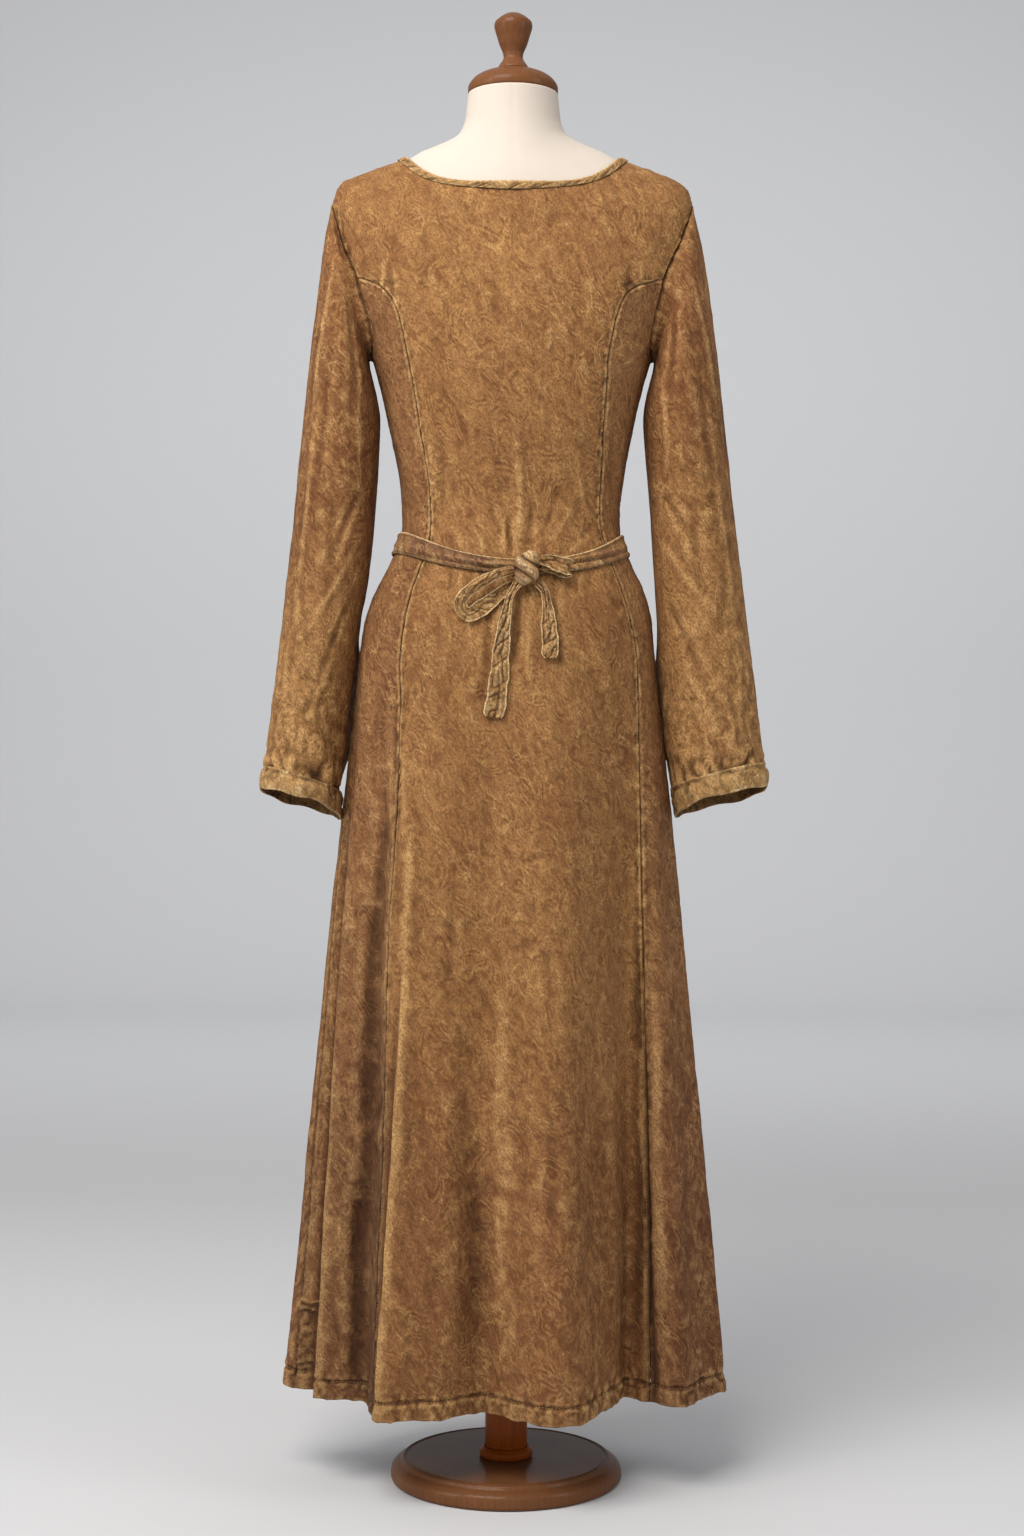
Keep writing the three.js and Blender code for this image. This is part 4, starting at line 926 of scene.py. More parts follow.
def sleeve(side):
    sign = -1 if side == "left" else 1
    turns = arm_turns(side, SLEEVE_GRID[0])
    rows = SLEEVES[side]
    places = np.linspace(len(rows["out"]) - 1, 0, SLEEVE_GRID[1])
    rings = sleeve_section(rows, places, turns, sign)
    # low down, the sleeve's front hangs in behind the gap beside the body
    z = rings[..., 2]
    low = ease(FOREARM - z, 0, 60) * ease(z - z[:1], 3, 45)
    inward = 3 * bump((turns - np.pi) / 0.8) + 20 * bump((turns - 1.33 * np.pi) / 1.0)
    rings[..., 0] -= sign * low * inward
    head = armhole_ring(side, turns, sign, 0, 0.9)
    # the head rounds over from the armhole seam to the first full section
    t = np.linspace(0, 1, 12)[1:, None, None]
    slope = (rings[-1] - rings[-5]) * 1.2
    over = rings[-1] * (1 - t) + head * t + slope * t * (1 - t) * (1 - t) * 0.9
    # seam allowances: one lies inside the panels, the other inside the cuff
    allowance = [armhole_ring(side, turns, sign, inside, rise)
                 for inside, rise in ((0.5, -1.4), (5, -3.2))]
    base = np.concatenate([rings[:1] - [0, 0, TUCK], rings, over, allowance])
    out = facing(base)
    steps = norm(np.diff(base, axis=0))
    down = np.concatenate([np.cumsum(steps[::-1], axis=0)[::-1], np.zeros((1, len(turns)))])
    down = np.broadcast_to(np.clip(down - down[-3], 0, None).mean(axis=1)[:, None], down.shape)
    turn = np.degrees((turns + np.pi) % (2 * np.pi) - np.pi)[None]
    shift = 6 if side == "right" else 0     # the right sleeve's creases differ a little
    lift = np.zeros(base.shape[:2])
    for turn0, s0, turn1, s1, wide, high in zip(*SLEEVE_CREASES.values()):
        lift += crease(turn * ARM_DEGREE, down, (turn0 + shift) * ARM_DEGREE, s0,
                       (turn1 - shift) * ARM_DEGREE, s1 - 2 * shift, 3, wide, high)
    lift += 0.6 * lumps(base, (30, 30, 60), 21) + 0.45 * lumps(base, 15, 23)
    lift += 0.22 * lumps(base, 7, 25)
    # gathered into the cuff and eased into the armhole
    around = np.linspace(0, 330, len(turns), endpoint=False)[None] + 0 * down
    to_cuff = np.clip(down.max() - TUCK - down, 0, None)
    waves = 2 * billow(base + 0.5 * to_cuff[..., None] * [1, 0, 0], (15, 15, 30), 43)
    small = 2 * billow(base, (8, 8, 9), 45)
    lift += 2.4 * waves * bell(to_cuff, 18) + 1.2 * waves * bell(to_cuff, 55)
    lift += 0.9 * small * bell(to_cuff, 12) + 0.7 * (small + waves) * ease(down, 300, 560)
    lift += 0.6 * pucker(around) * bell(down, 10)
    felled = -1.3 * bell(down, 2.4) + 0.5 * bell(down - 6, 3)
    lift += felled - 0.9 * bell(to_cuff, 2)
    # the side that hangs beside the body stays flat, so it keeps clear of it
    inside = ease(-np.cos(turns), 0.75, 0.95)[None]
    lift = np.where(lift > 0, lift * (1 - 0.8 * inside), lift)
    lift[-2:] = 0
    lift[0] = -1.2
    worn, deep = worn_and_trough_shade(lift)
    worn = worn + 0.5 * bell(to_cuff, 3) + 0.09 * ease(down, 250, 560)
    # painted shade: darker in the gathers' hollows by the cuff and in a band just below the armhole
    # seam
    deep = deep + 0.5 * ease(-waves, 0.3, 0.9) * bell(to_cuff, 9)
    deep = deep + 0.45 * bell(down, 3.5)
    tone = 0.5 + 0.28 * lumps(base, (60, 60, 110), 27)
    tone = tone + 0.85 * ease(down, 200, 560) - 0.15
    thick = PRESSED + (WALL - PRESSED) * ease(down, 0, 12)
    piece, face = wall(f"sleeve_{side}", base, out, lift, thick, True, wash_and_shade_marks(worn, deep, tone),
                       "cloth_sleeve")
    sew_round(face, out, -7)
    return piece


def cuff(side):
    sign = -1 if side == "left" else 1
    turns = arm_turns(side, CUFF_GRID[0])
    t = np.linspace(0, 1, CUFF_GRID[1])[:, None]      # 0 at the open edge, 1 at the sleeve
    base = sleeve_section(CUFFS[side], np.linspace(2, 0, len(t)), turns, sign, 0.5)
    base[..., 2] -= SEAM * t
    base[..., 2] += (1 - t) * (5 * np.clip(np.sin(turns), 0, 1) ** 2 + 1.6 * np.sin(3 * turns + 1)
                               + 1.0 * np.sin(7 * turns))
    out = facing(base)
    waves = 2 * billow(base, (15, 15, 14), 41) + 0.8 * billow(base, (7, 7, 8), 42)
    lift = 0.8 + 2.2 * waves * (0.5 + 0.5 * ease(t, 0.2, 0.8))
    lift += 0.9 * np.sin(np.pi * np.clip(t, 0.02, 0.98)) ** 0.7 - 1.6 * bell(t - 0.86, 0.07)
    sewn_on = ease(t, 0.86, 1)              # the cuff's upper edge lies close round the sleeve
    lift = lift * (1 - sewn_on) + 0.2 * sewn_on
    worn = 0.10 + 0.45 * ease(waves, 0.1, 0.9)
    worn = worn + 0.7 * ease(0.10 - t, 0, 0.10) + 0.25 * ease(t, 0.9, 1)
    # painted shade in the crumples' hollows and along the groove by the seam to the sleeve
    deep = 0.55 * ease(-waves, 0.2, 0.9) + 0.4 * bell(t - 0.84, 0.06)
    tone = 1.0 + 0.2 * lumps(base, 30, 31)
    piece, face = wall(f"cuff_{side}", base, out, lift, HEM_WALL, True, wash_and_shade_marks(worn, deep, tone),
                       "cloth_trim")
    sew_round(face, out, 13)
    return piece


for side in ("left", "right"):
    pieces[f"sleeve_{side}"] = sleeve(side)
    pieces[f"cuff_{side}"] = cuff(side)


# ------------------------------------------------------------------ the bow
def rest_face(x, z):
    """The face on which the bow lies: the dress, or the sash where it crosses."""
    u = back_turn(x, z)
    on_sash = (z > sash_at(u, -1) - 3) & (z < sash_at(u, 1) + 3)
    return dress(u, z)[..., 1] - np.where(on_sash, (LIE + SASH["wall"]) * 1.1, 0) - LIE


def seat(points):
    """Moves a piece of the bow along Y until it just clears what is behind it."""
    shift = np.min(rest_face(points[..., 0], points[..., 2]) - points[..., 1])
    points[..., 1] += shift
    return points


def spline(values, t):
    """A smooth curve through a row of values, t from 0 to 1."""
    return between_rows(values, t * (len(values) - 1))


def with_ends(wash_and_shade):
    """The wear and painted shade marks of a capped piece: the middle of each end takes those of the
    point beside it.
    """
    wash_and_shade = wash_and_shade.reshape(-1, 3)
    return np.concatenate([wash_and_shade, wash_and_shade[:1], wash_and_shade[-1:]])


def strap(name, steps, crinkle, curl, shade):
    """A narrow sewn strip swept along its stations, curled across and crinkled along."""
    rows = STRAPS[name]
    t = np.linspace(0, 1, steps)
    x, z = spline(rows["x"], t), spline(rows["z"], t)
    stations_y = dress(back_turn(rows["x"], rows["z"]), rows["z"])[..., 1] - rows["off"]
    middle = np.stack([x, spline(stations_y, t), z], axis=-1)
    wide, angle = spline(rows["wide"], t) / 2, np.radians(spline(rows["across"], t))
    along = unit(np.gradient(middle, axis=0))
    side = np.stack([np.cos(angle), 0 * angle, np.sin(angle)], axis=-1)
    side = unit(side - (side * along).sum(axis=-1, keepdims=True) * along)
    up = np.cross(along, side)
    far = np.concatenate([[0], np.cumsum(norm(np.diff(middle, axis=0)))])
    v = np.sin(np.linspace(-1, 1, 25) * np.pi / 2)[None]     # across the strip, -1 to 1
    s = far[:, None]
    # two folds that wander along the strip, and crushed places between smoother ones
    fold = (bell(v - 0.34 - 0.24 * np.sin(s / 21 + steps), 0.20)
            - 1.1 * bell(v + 0.04 - 0.26 * np.sin(s / 17 + 2 * steps), 0.12)
            + 0.8 * bell(v + 0.46 - 0.16 * np.sin(s / 13 + steps), 0.22))
    grid = np.stack([s + 7 * v, 9 * v + 0 * s, 0 * s + 0 * v + steps], axis=-1)
    puffs = 2 * billow(grid, (8, 7, 1), 71)
    fine_puffs = 2 * billow(grid, (4, 3.5, 1), 72)
    crushed = 0.55 + 0.45 * np.sin(s / 15 + 0.7 * steps)
    wave = (crinkle * (1.1 * puffs + 0.3 * fine_puffs) * (0.4 + crushed)
            + 0.9 * fold * (1.2 - crushed))
    wave = wave * (1 - 0.6 * v ** 4) + curl * (v ** 2 - 0.4) * (1 + 0.5 * np.sin(s / 17))
    rounded = 1 - 0.22 * bell(far[-1] - s, 2.2)
    edge = wide[:, None] * v * rounded * (1 + 0.06 * np.sin(s / 5.1 + v) + 0.03 * np.sin(s / 2.3))
    half = (1.0 * np.sqrt(np.clip(1 - v ** 2, 0, 1)) ** 0.5
            + 0.5 * bell(np.abs(v) - 0.90, 0.07)
            - 0.15 * bell(np.abs(v) - 0.76, 0.07))
    shells = [middle[:, None] + side[:, None] * edge[..., None]
              + up[:, None] * (wave + sense * half)[..., None] for sense in (1, -1)]
    points = seat(np.concatenate([shells[0], shells[1][:, -2:0:-1]], axis=1))
    rim = ease(np.abs(v), 0.82, 0.90)
    worn, deep = worn_and_trough_shade(1.3 * wave)
    worn = 0.7 * worn + 0.22 * ease(puffs, 0.3, 0.9) + 0.85 * rim
    # painted shade in the hollows of the folds and crushed places, and in thin lines just inside
    # the rims
    deep = 1.6 * deep + 0.55 * ease(-puffs, 0.1, 0.9) + 0.2 * bell(np.abs(v) - 0.76, 0.06)
    deep = deep * (1 - 0.85 * rim)
    both = [np.concatenate([part, part[:, -2:0:-1]], axis=1) for part in (worn, deep)]
    tone = 1.0 - shade * bell(s - 12, 26) + 0.15 * np.sin(s / 19) + 0 * both[0]
    outer = points[:, 1:24]
    n = unit(np.cross(np.gradient(outer, axis=0), np.gradient(outer, axis=1)), 1e-9)
    away = np.sign((n * up[:, None]).sum(axis=-1, keepdims=True))
    for col in (4, 18):
        sew(outer[:, col], (n * away)[:, col], pitch=3.0)
    return lay(name, *capped(points), "cloth_sash", with_ends(wash_and_shade_marks(*both, tone)))


for name, steps, crinkle, curl, shade in (
        ("bow_loop_left", 170, 0.6, 2.2, 0.1), ("bow_loop_right", 110, 0.8, 1.6, 0.1),
        ("bow_tail_long", 220, 1.3, 1.2, 0.2), ("bow_tail_short", 130, 1.2, 1.2, 0.7)):
    pieces[name] = strap(name, steps, crinkle, curl, shade)


def knot():
    """The sash pulled round itself: a lump with the wrapping strip's folds running over it."""
    a = np.linspace(0.04, np.pi - 0.04, 64)[:, None]
    b = np.linspace(0, 2 * np.pi, 110, endpoint=False)[None]
    wraps = np.abs(np.sin(b + 2.3 * a + 0.6 * np.sin(2 * a + 2 * b) - 0.5))
    fine_folds = np.abs(np.sin(3 * b + 5.2 * a + 0.8 * np.sin(3 * a - b)))
    lobes = 0.78 + 0.33 * wraps ** 0.55 + 0.07 * fine_folds ** 0.7
    size = np.sin(a) ** 0.8 * lobes
    points = np.stack([KNOT["x"] + KNOT["wide"] * size * np.cos(b),
                       KNOT["deep"] * size * np.sin(b),
                       KNOT["z"] - KNOT["high"] * np.cos(a) + 0 * b + 1.5 * np.cos(b)], axis=-1)
    # painted shade in the hollows between the wraps
    wash_and_shade = wash_and_shade_marks(0.15 + 0.45 * ease(wraps, 0.6, 1) * ease(fine_folds, 0.1, 0.7),
               0.95 * ease(0.42 - wraps, 0, 0.36) + 0.3 * ease(0.25 - fine_folds, 0, 0.25),
               0.62 - 0.6 * ease(-np.cos(b), -0.2, 0.7) + 0 * wraps)
    return lay("bow_knot", *capped(seat(points)), "cloth_sash", with_ends(wash_and_shade))


pieces["knot"] = knot()


# ------------------------------------------------------------------ stitches
def stitches():
    """Every stitch as a short thread that dips into the cloth at both ends, in one mesh."""
    at, ahead, n = (np.concatenate([run[k] for run in threads]) for k in range(3))
    side = np.cross(ahead, n)
    corners = np.stack([at - ahead * 1.35, at + ahead * 1.35, at + side * 0.36, at - side * 0.36,
                        at + n * 0.42, at - n * 0.3], axis=1)
    eight = np.array([(0, 2, 4), (2, 1, 4), (1, 3, 4), (3, 0, 4), (2, 0, 5), (1, 2, 5), (3, 1, 5),
                      (0, 3, 5)])
    faces = (eight[None] + 6 * np.arange(len(at))[:, None, None]).reshape(-1, 3)
    return lay("stitches", corners.reshape(-1, 3), faces, "cloth_trim", replaces=False)


pieces["stitches"] = stitches()


# ------------------------------------------------------------------ dress form and stand
def form():
    u = np.linspace(-180, 180, 120, endpoint=False)
    rings = []
    for h in np.concatenate([np.arange(FORM_FOOT, NECK, 12), [NECK]]):
        level = np.full_like(u, max(h, HIP))
        inset = np.interp(h, INSET["h"], INSET["by"])
        p = section(u, level) - outward(section, u, level) * inset
        if h < HIP:
            p[:, 2] = h
        rings.append(p)
    s, c = np.sin(np.radians(u)), np.cos(np.radians(u))
    for h in np.linspace(FORM_NECK["h"][0], FORM_NECK["h"][-1], 40):
        get = {name: smooth(FORM_NECK, name, h) for name in FORM_NECK if name != "h"}
        end = np.where(c > 0, get["back"], get["front"])
        rings.append(np.stack([get["half"] * s, -np.where(c > 0, get["rear"], get["fore"]) * c,
                               end + (h - end) * s ** 4], axis=-1))
    rings = np.array(rings)
    # seams of the cover, down the back and the front of the neck
    from_seam = np.abs(u)[None]
    groove = bell(from_seam * 0.9, 1.0) + bell((180 - from_seam) * 0.9, 1.0)
    groove = groove * (rings[..., 2] > NECK_SEAM)
    rings[..., 1] -= np.sign(rings[..., 1]) * 0.5 * groove
    return lay("form_torso", *capped(rings), "form_cover")


pieces["form"] = form()

# Turned pieces: radius and height down each profile.
TURNED = {
    "stand_base": [(0, 0), (122, 0), (126.2, 1), (128, 4), (128, 8), (127.3, 12.5), (125, 16),
                   (121, 18.6), (117.6, 20), (116.2, 22), (115, 23.7), (113.6, 24), (112.4, 23.2),
                   (111, 22.6), (109.6, 23.3), (108, 24), (60, 24), (0, 24)],
    "pole_collar": [(23.7, 24.4), (28, 24.4), (29.2, 25.6), (29.5, 29), (29, 31.6), (27.6, 33),
                    (26.4, 34.6), (25.2, 36), (23.7, 36)],
    "stand_pole": [(0, 24.3), (23.4, 24.3), (23.4, 300), (23.4, 560), (23.4, 795.7), (0, 795.7)],
    "neck_cap": [(0, 1538.4), (48.6, 1538.4), (50, 1540), (50.2, 1543), (50, 1546), (48.7, 1549),
                 (45.8, 1553), (40, 1557.6), (31, 1561.6), (20, 1564.2), (10, 1565), (0, 1565)],
    "finial": [(0, 1565.3), (16.8, 1565.3), (17.6, 1566.4), (17, 1568.4), (14.5, 1572.5),
               (11.8, 1576.5), (10.8, 1579.5), (11.2, 1583.5), (13, 1588.5), (15.5, 1594),
               (18, 1602.5), (20.2, 1609.5), (21.3, 1614.5), (20.6, 1618.5), (17.4, 1622),
               (12, 1626), (6.5, 1628.6), (0, 1629.4)],
}
POLE = ["stand_pole", "pole_collar"]   # the turned pieces given a brighter, redder copy of the same wood: painted light on the shaded pole


def turned(name, steps=96):
    profile = np.array(TURNED[name], float)
    knots = np.concatenate([[0], np.cumsum(np.hypot(*np.diff(profile, axis=0).T))])
    step = 24 if name == "stand_pole" else 2.0
    fine = np.unique(np.concatenate([knots, np.arange(0, knots[-1], step)]))
    r, z = (steady({"h": knots, "v": profile[:, k]}, "v", fine) for k in (0, 1))
    r = np.maximum(r, 0.02)
    if profile[0, 0] > 0:
        r, z = np.append(r, r[0]), np.append(z, z[0])
    a = np.linspace(0, 2 * np.pi, steps, endpoint=False)
    rings = np.stack([r[:, None] * np.cos(a), r[:, None] * np.sin(a), z[:, None] + 0 * a], axis=-1)
    ids = again(numbers(len(r), steps))
    if profile[0, 0] > 0:
        rings, ids = rings[:-1], np.concatenate([ids[:-1], ids[:1]])
    return lay(name, rings.reshape(-1, 3), quads(ids), "varnished_wood")


for name in TURNED:
    pieces[name] = turned(name)


# ------------------------------------------------------------------ materials
def linear(code):
    """An sRGB hex colour as linear light."""
    values = [int(code[i:i + 2], 16) / 255 for i in (1, 3, 5)]
    return [v / 12.92 if v <= 0.04045 else ((v + 0.055) / 1.055) ** 2.4 for v in values] + [1.0]


def add(tree, kind, inputs=None, **settings):
    """Adds a node with its settings; inputs go into its sockets as values or links."""
    made = tree.nodes.new("ShaderNode" + kind)
    for key, value in settings.items():
        setattr(made, key, value)
    for socket, value in (inputs or {}).items():
        if isinstance(value, bpy.types.NodeSocket):
            tree.links.new(value, made.inputs[socket])
        else:
            made.inputs[socket].default_value = value
    return made


def material(name, build, meshes):
    made = bpy.data.materials.new(name)
    made.use_nodes = True
    tree = made.node_tree
    tree.nodes.clear()
    add(tree, "OutputMaterial", {"Surface": build(tree).outputs[0]})
    for mesh in meshes:
        mesh.materials.append(made)


def of(*names):
    return [pieces[name].data for name in names]


def cotton(dark, middle, light, pale, veins):
    """Mineral-washed woven cotton: dyed, then tumbled with stones, so it is matt and cloudy,
    crinkled all over and rubbed pale on the crinkles; it is painted darker in the folds and
    hollows, partly dye kept there and partly painted shade."""
    def build(tree):
        place = add(tree, "TexCoord").outputs["Object"]
        wash_and_shade = add(tree, "SeparateColor",
                  {0: add(tree, "Attribute", attribute_name="wash_and_shade").outputs["Color"]}).outputs

        # Each pattern's cells are about the given millimetres across before they are stretched;
        # the turn is in degrees. The yarn's grain is drawn at 1.8 mm because the real 0.5 mm
        # would not show. The two veins become the rubbed crinkles.
        seen = {}
        for name, size, detail, rough, twist, turn, stretch in (
                ("clouds", 90, 3, 0.55, 0.6, 0, (1, 1, 2.2)),
                ("mottle", 28, 4, 0.62, 0.7, -14, (0.8, 1, 1.7)),
                ("streaks", 13, 2, 0.6, 0.4, -24, (1, 1, 5)),
                ("crumple", 9, 3, 0.6, 0.9, -32, (0.8, 1, 1.8)),
                ("swell", 34, 1, 0.5, 0.8, -32, (0.8, 1, 1.6)),
                ("calm", 20, 2, 0.5, 0, 0, (1, 1, 1)),
                ("grain", 1.8, 0, 0.5, 0, -32, (1, 1, 1.6)),
                ("wide_vein", 34, 1.5, 0.5, 0.5, math.degrees(-0.5), (0.6, 1, 2.0)),
                ("fine_vein", 15, 1.5, 0.5, 0.5, math.degrees(-0.8), (0.6, 1, 2.0))):
            where = add(tree, "Mapping", {"Vector": place, "Rotation": (0, math.radians(turn), 0),
                                          "Scale": stretch}, vector_type="TEXTURE").outputs[0]
            seen[name] = add(tree, "TexNoise", {
                "Vector": where, "Scale": 1000 / size, "Detail": detail, "Roughness": rough,
                "Distortion": twist}).outputs[0]

        # ripples of the crinkled cloth, about 4 mm apart, that follow one another like contours
        swell = add(tree, "Math", {0: seen["swell"], 1: 62.0}, operation="MULTIPLY").outputs[0]
        seen["ripples"] = add(tree, "Math", {0: swell}, operation="SINE").outputs[0]
        # the veins are thin lines where a soft pattern passes through its middle
        for name in ("wide_vein", "fine_vein"):
            off = add(tree, "Math", {0: seen[name], 1: 0.5}, operation="SUBTRACT").outputs[0]
            seen[name] = add(tree, "Math", {0: off}, operation="ABSOLUTE").outputs[0]
        # the attribute's green darkens the cloth: partly dye kept in hollows, partly painted shade
        seen.update(tone=wash_and_shade["Blue"], rubbed=wash_and_shade["Red"], stained=wash_and_shade["Green"])

        # smooth steps: what is read, from where to where it rises, and between which values
        for name, read, low, high, to_low, to_high in (
                ("calm", "calm", 0.42, 0.62, 0.15, 1), ("wide_vein", "wide_vein", 0, 0.020, 1, 0),
                ("fine_vein", "fine_vein", 0, 0.036, 1, 0), ("patches", "mottle", 0.44, 0.60, 0, 1),
                ("rub", "mottle", 0.3, 0.6, 0.45, 1.0)):
            seen[name] = add(tree, "MapRange", {
                "Value": seen[read], "From Min": low, "From Max": high, "To Min": to_low,
                "To Max": to_high}, interpolation_type="SMOOTHSTEP").outputs[0]
        for name, a, b, operation in (
                ("ripples", "ripples", "calm", "MULTIPLY"),
                ("crinkle", "wide_vein", "fine_vein", "MAXIMUM"),
                ("crinkle", "crinkle", "patches", "MULTIPLY"),
                ("rub", "rubbed", "rub", "MULTIPLY")):
            seen[name] = add(tree, "Math", {0: seen[a], 1: seen[b]}, operation=operation).outputs[0]

        # washes of colour one over the other: where each begins and is full, and how strong
        colour = linear(dark)
        for name, low, high, least, most, tint in (
                ("clouds", 0.32, 0.68, 0.5, 1, middle), ("tone", 0.1, 0.9, 0, 0.6, light),
                ("mottle", 0.5, 0.74, 0, 0.28, light), ("mottle", 0.5, 0.26, 0, 0.28, dark),
                ("streaks", 0.5, 0.74, 0, 0.32, light), ("streaks", 0.5, 0.26, 0, 0.32, dark),
                ("crumple", 0.5, 0.74, 0, 0.52, light), ("crumple", 0.5, 0.26, 0, 0.52, dark),
                ("ripples", 0.1, 1.0, 0, 0.36, light), ("ripples", -0.1, -1.0, 0, 0.42, dark),
                ("crinkle", None, None, 0, veins, pale), ("rub", None, None, 0, 1, pale),
                # the darkening mixes towards dark brown: dye kept in hollows, and painted shade
                ("stained", None, None, 0, 0.85, "#2A190C"), ("grain", 0.35, 0.7, 0, 0.44, dark)):
            if low is None:
                share = add(tree, "Math", {0: seen[name], 1: most}, operation="MULTIPLY").outputs[0]
            else:
                share = add(tree, "MapRange", {
                    "Value": seen[name], "From Min": low, "From Max": high, "To Min": least,
                    "To Max": most}, interpolation_type="SMOOTHSTEP").outputs[0]
            colour = add(tree, "Mix", {0: share, 6: colour, 7: linear(tint)},
                         data_type="RGBA").outputs[2]

        relief = {}
        for name, strength, deep in (("grain", 0.35, 0.5), ("mottle", 0.45, 5.0),
                                     ("streaks", 0.50, 4.0), ("crumple", 0.85, 3.2),
                                     ("ripples", 0.55, 0.35), ("crinkle", 0.60, 0.9)):
            relief["Normal"] = add(tree, "Bump", {"Height": seen[name], "Strength": strength,
                                                  "Distance": deep * MM, **relief}).outputs[0]
        return add(tree, "BsdfPrincipled", {"Base Color": colour, "Roughness": 0.92,
                                            "Specular IOR Level": 0.2, **relief})
    return build


for name, colours, veins, names in (
        ("cotton_centre", ("#61391F", "#8F623E", "#B48751", "#D4A96E"), 0.38,
         ("back_centre", "front_centre")),
        # the side panels' cotton is a darker copy of the centre's: painted shade
        ("cotton_side_shaded", ("#53311B", "#83573A", "#AB7E4E", "#CDA26C"), 0.45,
         ("back_left", "back_right", "front_left", "front_right")),
        ("cotton_sleeve", ("#5A351C", "#875A38", "#B28551", "#D6AA70"), 0.40,
         ("sleeve_left", "sleeve_right")),
        ("cotton_trim", ("#66452A", "#A37848", "#C79C60", "#E6C896"), 0.50,
         ("binding", "cuff_left", "cuff_right")),
        ("cotton_sash", ("#543623", "#865F47", "#BF9154", "#EACD9B"), 0.40,
         ("sash", "bow_loop_left", "bow_loop_right", "bow_tail_long", "bow_tail_short", "knot"))):
    material(name, cotton(*colours, veins), of(*names))


def thread(tree):
    """Spun cotton thread, washed pale."""
    place = add(tree, "TexCoord").outputs["Object"]
    wash = add(tree, "TexNoise", {"Vector": place, "Scale": 60, "Detail": 2}).outputs[0]
    colour = add(tree, "Mix", {0: wash, 6: linear("#7D5C38"), 7: linear("#C8A470")},
                 data_type="RGBA").outputs[2]
    return add(tree, "BsdfPrincipled", {"Base Color": colour, "Roughness": 0.85,
                                        "Specular IOR Level": 0.25})


def cover(tree):
    """Cream cotton jersey stretched over a moulded form: matt, with a fine even knit."""
    place = add(tree, "TexCoord").outputs["Object"]
    knit = add(tree, "TexNoise", {"Vector": place, "Scale": 700, "Detail": 2}).outputs[0]
    soft = add(tree, "TexNoise", {"Vector": place, "Scale": 14, "Detail": 3}).outputs[0]
    colour = add(tree, "Mix", {0: soft, 6: linear("#C9BEB2"), 7: linear("#D3C9BE")},
                 data_type="RGBA").outputs[2]
    speck = add(tree, "MapRange", {"Value": knit, "From Min": 0.3, "From Max": 0.7,
                                   "To Min": 0.10, "To Max": 0.0}).outputs[0]
    colour = add(tree, "Mix", {0: speck, 6: colour, 7: linear("#C9B79C")},
                 data_type="RGBA").outputs[2]
    bumps = add(tree, "Bump", {"Height": knit, "Strength": 0.25, "Distance": 0.0005}).outputs[0]
    return add(tree, "BsdfPrincipled", {"Base Color": colour, "Roughness": 0.9,
                                        "Specular IOR Level": 0.25, "Normal": bumps})


def varnished_wood(dark, light, cloudy):
    """Turned beech, stained and varnished: long grain under a clear glossy coat."""
    def build(tree):
        place = add(tree, "TexCoord").outputs["Object"]
        # growth rings 3 mm apart, drawn out along the pole
        long_grain = add(tree, "Mapping", {"Vector": place, "Scale": (330, 330, 9)}).outputs[0]
        grain = add(tree, "TexNoise", {"Vector": long_grain, "Scale": 1, "Detail": 4,
                                       "Roughness": 0.6, "Distortion": 0.4}).outputs[0]
        cloud = add(tree, "TexNoise", {"Vector": place, "Scale": 11, "Detail": 2}).outputs[0]
        colour = add(tree, "Mix", {0: grain, 6: linear(dark), 7: linear(light)},
                     data_type="RGBA").outputs[2]
        colour = add(tree, "Mix", {0: cloud, 6: colour, 7: linear(cloudy)},
                     data_type="RGBA").outputs[2]
        bumps = add(tree, "Bump", {"Height": grain, "Strength": 0.06,
                                   "Distance": 0.0005}).outputs[0]
        return add(tree, "BsdfPrincipled", {
            "Base Color": colour, "Roughness": 0.5, "Specular IOR Level": 0.08,
            "Coat Weight": 0.14, "Coat Roughness": 0.12, "Coat IOR": 1.5, "Normal": bumps})
    return build


material("cotton_thread", thread, of("stitches"))
material("jersey_cover", cover, of("form"))
# the pole takes a brighter, redder copy of the wood: painted light
material("varnished_beech_pole_painted_light", varnished_wood("#782F04", "#CC6A10", "#7E3608"), of(*POLE))
material("varnished_beech_dark", varnished_wood("#58311C", "#966640", "#5C3820"),
         of(*[name for name in TURNED if name not in POLE]))


# ------------------------------------------------------------------ backdrop, light and camera
def paper(tree):
    """Uncoated backdrop paper: pale, even and matt."""
    return add(tree, "BsdfPrincipled", {"Base Color": linear("#D7D8DA"), "Roughness": 0.9,
                                        "Specular IOR Level": 0.1})


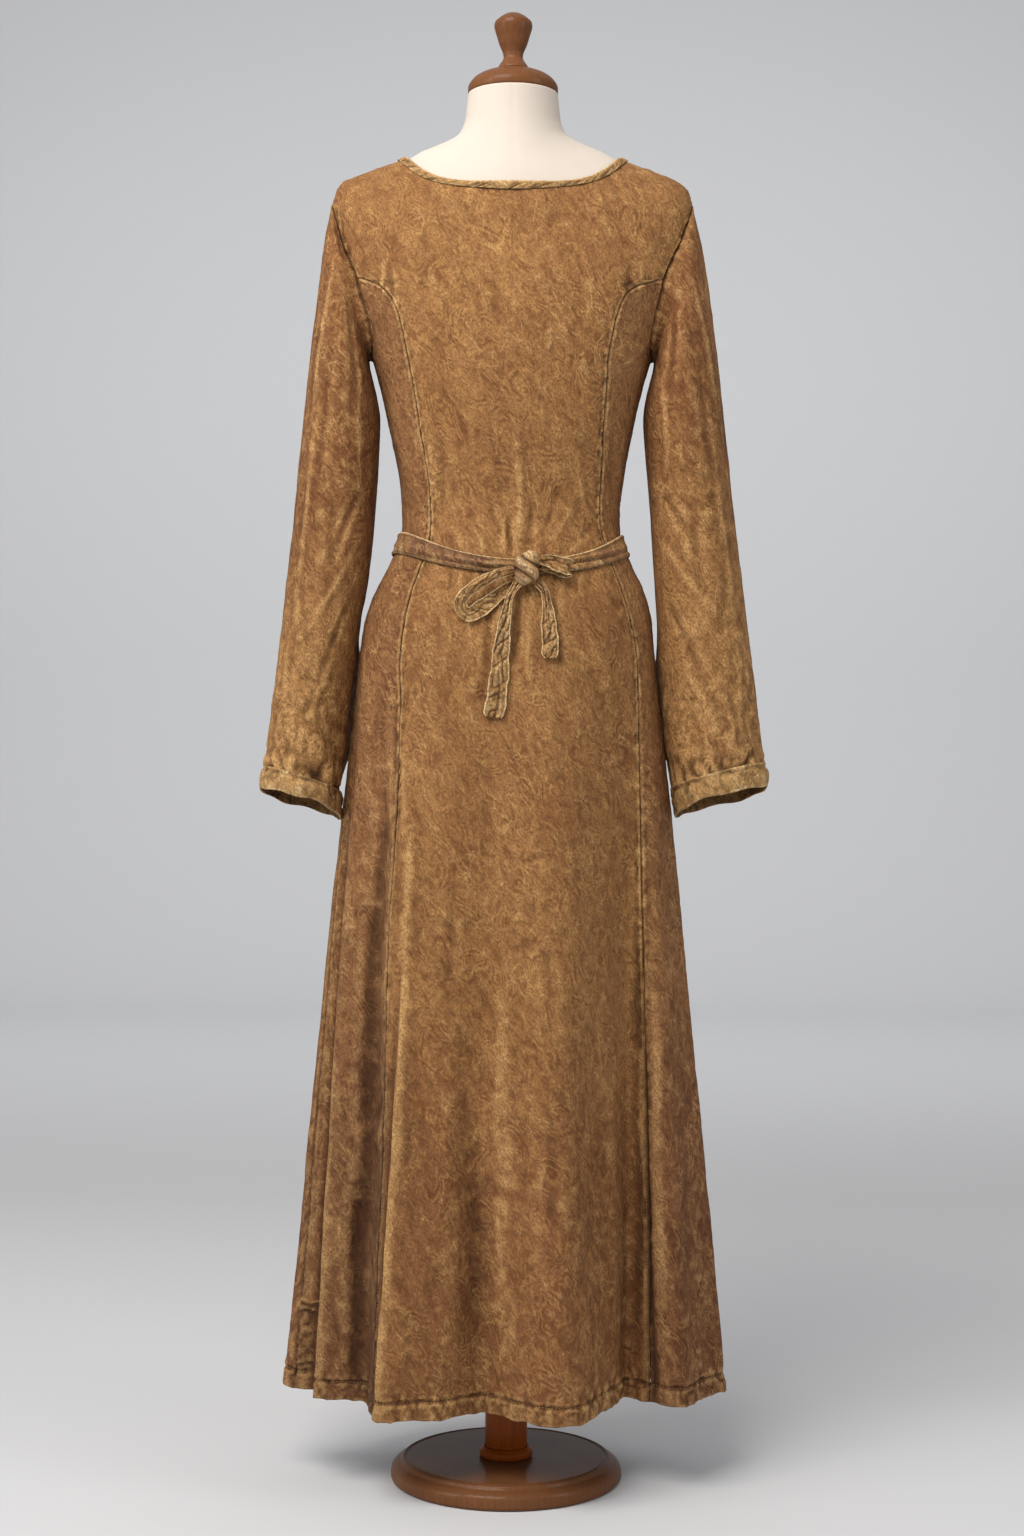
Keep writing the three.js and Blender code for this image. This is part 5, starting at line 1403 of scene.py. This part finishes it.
def backdrop():
    """A pale sheet of paper that runs along the floor and curves up behind, in metres."""
    near, curve_from, curve, high, half = -6, 5, 1.2, 6.0, 8
    profile = [(near, 0), (curve_from, 0)]
    profile += [(curve_from + curve * math.sin(a), curve - curve * math.cos(a))
                for a in np.linspace(0.1, math.pi / 2, 16)]
    profile += [(curve_from + curve, high)]
    points = [(x, y, z) for y, z in profile for x in (-half, half)]
    faces = [(2 * i, 2 * i + 1, 2 * i + 3, 2 * i + 2) for i in range(len(profile) - 1)]
    mesh = bpy.data.meshes.new("backdrop")
    mesh.from_pydata(points, [], faces)
    mesh.shade_smooth()
    sheet = bpy.data.objects.new("backdrop", mesh)
    bpy.context.collection.objects.link(sheet)
    material("backdrop_paper", paper, [mesh])


def light(name, at, look, size, power, colour="#FFFFFF"):
    lamp = bpy.data.lights.new(name, "AREA")
    lamp.shape = "RECTANGLE"
    lamp.size, lamp.size_y = size
    lamp.energy = power
    lamp.color = linear(colour)[:3]
    lamp_object = bpy.data.objects.new(name, lamp)
    lamp_object.location = at
    direction = np.array(look) - np.array(at)
    lamp_object.rotation_euler = Vector(direction).to_track_quat("-Z", "Y").to_euler()
    bpy.context.collection.objects.link(lamp_object)


backdrop()
light("soft_box_high", (-0.9, -1.7, 3.0), (0, 0, 1.2), (1.8, 1.4), 80, "#FFFAF4")
light("soft_box_left", (-2.4, -1.3, 1.9), (0, 0, 1.2), (1.0, 1.6), 24)
light("soft_box_right", (2.5, -1.3, 1.9), (0, 0, 1.2), (1.0, 1.6), 17)
light("floor_wash", (0, 0.9, 3.0), (0, 1.1, 0), (5.0, 2.4), 10)
light("wall_wash", (0, 3.0, 2.9), (0, 6.2, 1.5), (7.0, 1.2), 70)

world = bpy.data.worlds.new("studio")
world.use_nodes = True
world.node_tree.nodes["Background"].inputs["Color"].default_value = linear("#E8E8EA")
world.node_tree.nodes["Background"].inputs["Strength"].default_value = 0.39
bpy.context.scene.world = world
bpy.context.scene.view_settings.view_transform = "Standard"

camera = bpy.data.cameras.new("camera")
camera.sensor_width = 36
camera.lens = 55.55
camera_object = bpy.data.objects.new("camera", camera)
camera_object.location = (0.0027, -2.639, 0.789)
camera_object.rotation_euler = (math.pi / 2, -math.radians(0.295), 0)
bpy.context.collection.objects.link(camera_object)
bpy.context.scene.camera = camera_object
